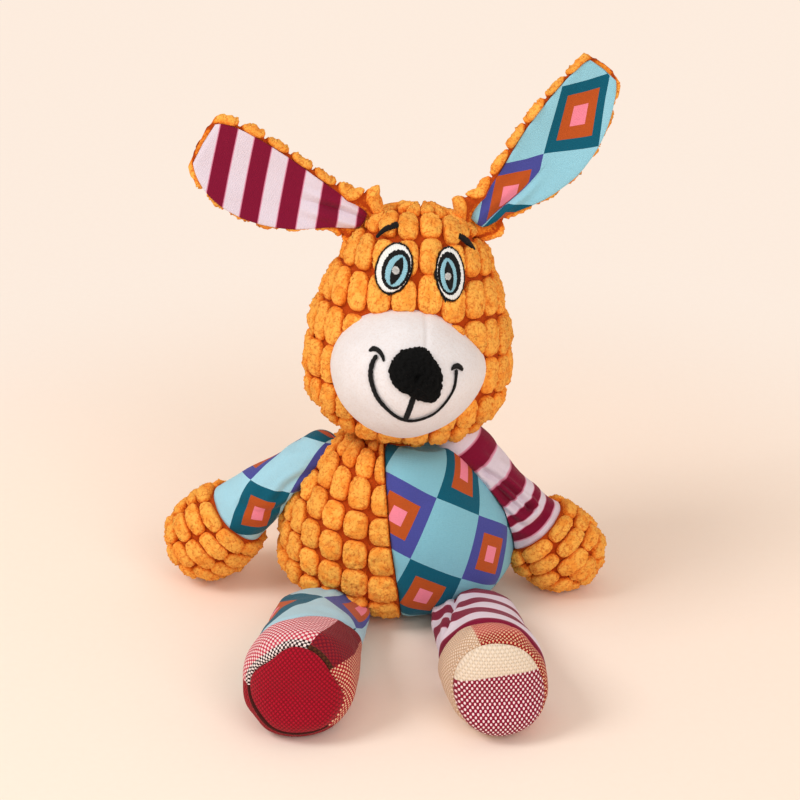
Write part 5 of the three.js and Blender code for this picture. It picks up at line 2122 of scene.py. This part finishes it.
def plush_back(side):
    """The plush of an ear: kernels round an oval from edge to edge, and a plain wall in front.

    The columns lie evenly along the oval's arc. At the root the oval is plumper, and on the
    plump side it goes a little further round.
    """
    length = ear_lengths[side]
    plump = plump_sides[side]
    grid = kernel_grid(ear_columns, ear_rows, ear_seeds[side], wobble=0.1)
    angle = np.interp(np.clip(grid["column"] / ear_columns, 0, 1), ear_arc, ear_angle)
    z_share = np.clip(grid["row"] / ear_rows, 0.001, 0.999)
    z = root_start + z_share * (length - back_inset - root_start)
    at_root = 1 - eased(z, 2 * mm, 26 * mm)
    angle = angle * (1 + (rim_roll + root_roll * at_root) * eased(angle * plump, 0, 110 * degree))
    half = np.maximum(ear_half(z / length) - back_inset, 0.5 * mm)
    half = np.maximum(half, root_half * np.sqrt(np.clip((z - root_start) / (8 * mm), 0, 1)) * at_root)
    on_plump = np.clip(np.sin(angle) * plump, 0, 1)
    off_plump = np.clip(-np.sin(angle) * plump, 0, 1)
    shift = plump * (on_plump * (rim_swell + root_plump * at_root) + off_plump * rim_slack)
    deep = 1.6 * mm + root_deep * at_root
    x = half * np.sin(angle) + shift * eased(z, root_start, 6 * mm) * np.clip(half / (8 * mm), 0, 1)
    y = deep * np.cos(angle) + 1.0 * mm
    points = np.stack([x, y + ear_cup(x, z), z], -1)
    normal = unit(np.stack([np.sin(angle) / half, np.cos(angle) / deep, 0 * angle], -1))
    normal[..., 2] += eased(z_share, 0.9, 1.0) - eased(-z_share, -0.06, 0)
    normal = unit(normal)
    held = eased(z_share, 0, 0.05) * (1 - eased(z_share, 0.955, 0.995))
    points, values = stand_pile(grid, points, normal, held, ear_ground, ear_pile, 93)
    reach = np.where(points[..., 0] * plump > 0, -front_reach * (1 + at_root), 0.2 * mm)
    points[..., 1] = np.maximum(points[..., 1], reach + ear_cup(points[..., 0], points[..., 2]))
    first, last = points[:, :1], points[:, -1:]
    for share in (0.25, 0.5, 0.75):
        column = last * (1 - share) + first * share
        column[..., 1] = 0.6 * mm + ear_cup(column[..., 0], column[..., 2])
        points, values = with_column(points, values, column)
        # The front wall gets a pile value that sets the plush's painted shade on it.
        values["pile"][:, -1] = front_wall_shade_level
    points[0] = points[0].mean(0)
    points[-1] = points[-1].mean(0)
    points = put(ear_move(points, side), side + "_ear")
    back = sewn(side + "_ear_plush", points, orange_plush, values=values)
    pinned(back)
    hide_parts(side + "_ear_back")


# %% The printed front


def printed_front(side):
    """The printed panel of an ear: a thin pillow, flat behind, with its creases at the root."""
    length = ear_lengths[side]
    z_share = np.linspace(0.001, 0.999, 150)[:, None]
    u = np.linspace(-1, 1, 90)[None]
    z = print_start + z_share * (length - print_start - print_end) + 0 * u
    half = np.maximum(ear_half(z / length) - panel_inset, 0.3 * mm)
    aside = plump_sides[side] * print_shift * np.sin(math.pi * np.clip(z / length, 0, 1)) ** 0.7
    x = half * u - aside
    ends = np.sqrt(np.clip(np.minimum(z_share, 1 - z_share) / 0.03, 0, 1))
    pillow = 0.8 * mm * np.sqrt(np.maximum(1 - u**6, 0)) * ends
    wrinkle = lumps(np.stack([x * 1.6, 0 * x, z * 0.7], -1), 16 * mm, 95) * 0.4 * mm
    folded = (ear_fold(x, z, side) * ends - wrinkle) * (1 - u**4)
    front = np.stack([x, -0.5 * mm - pillow - folded + ear_cup(x, z), z], -1)
    rear = np.stack([x, -0.3 * mm + ear_cup(x, z), z], -1)[:, ::-1]
    points = np.concatenate([front, rear], 1)
    points[0] = points[0].mean(0)
    points[-1] = points[-1].mean(0)
    cloth = ear_cloth(front, side)
    cloth = np.concatenate([cloth, cloth[:, ::-1], cloth[:, :1]], 1)
    points = put(ear_move(points, side), side + "_ear")
    panel = sewn(side + "_ear_print", points, ear_prints[side], cloth=cloth)
    pinned(panel)
    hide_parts(side + "_ear_front")


for side in ear_lengths:
    plush_back(side)
    printed_front(side)

# %% [markdown]
# ## The squeaker
#
# The squeaker inside is blown and moulded plastic. Its solids are right as they are, so they
# only get their finishes.

# %% Squeaker


def plastic_finish(name, light, dark, roughness):
    """Milky plastic with a faint cloud and a soft grain."""
    finish, tree, shader = new_finish(name, roughness)
    cloud = speckle(tree, 9 * mm, 2.0, 0.5)
    grain = speckle(tree, 0.8 * mm, 2.0, 0.5)
    painted(tree, shader, mixed(tree, cloud, dark, light), raised(tree, grain, 0.03 * mm))
    shader.inputs["Specular IOR Level"].default_value = 0.5
    return finish


squeaker_plastic = plastic_finish("squeaker_plastic", seen(238, 236, 228), seen(222, 219, 208), 0.45)
reed_plastic = plastic_finish("reed_plastic", seen(206, 200, 184), seen(190, 184, 166), 0.4)
for node, finish in (
    ("squeaker_bulb", squeaker_plastic), ("squeaker_reed_holder", squeaker_plastic),
    ("squeaker_reed", reed_plastic),
):
    bpy.data.objects[node].material_slots[0].material = finish
    print(node, "in", finish.name)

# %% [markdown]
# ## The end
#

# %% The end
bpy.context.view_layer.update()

scene = bpy.context.scene
scene.view_settings.view_transform = "Standard"
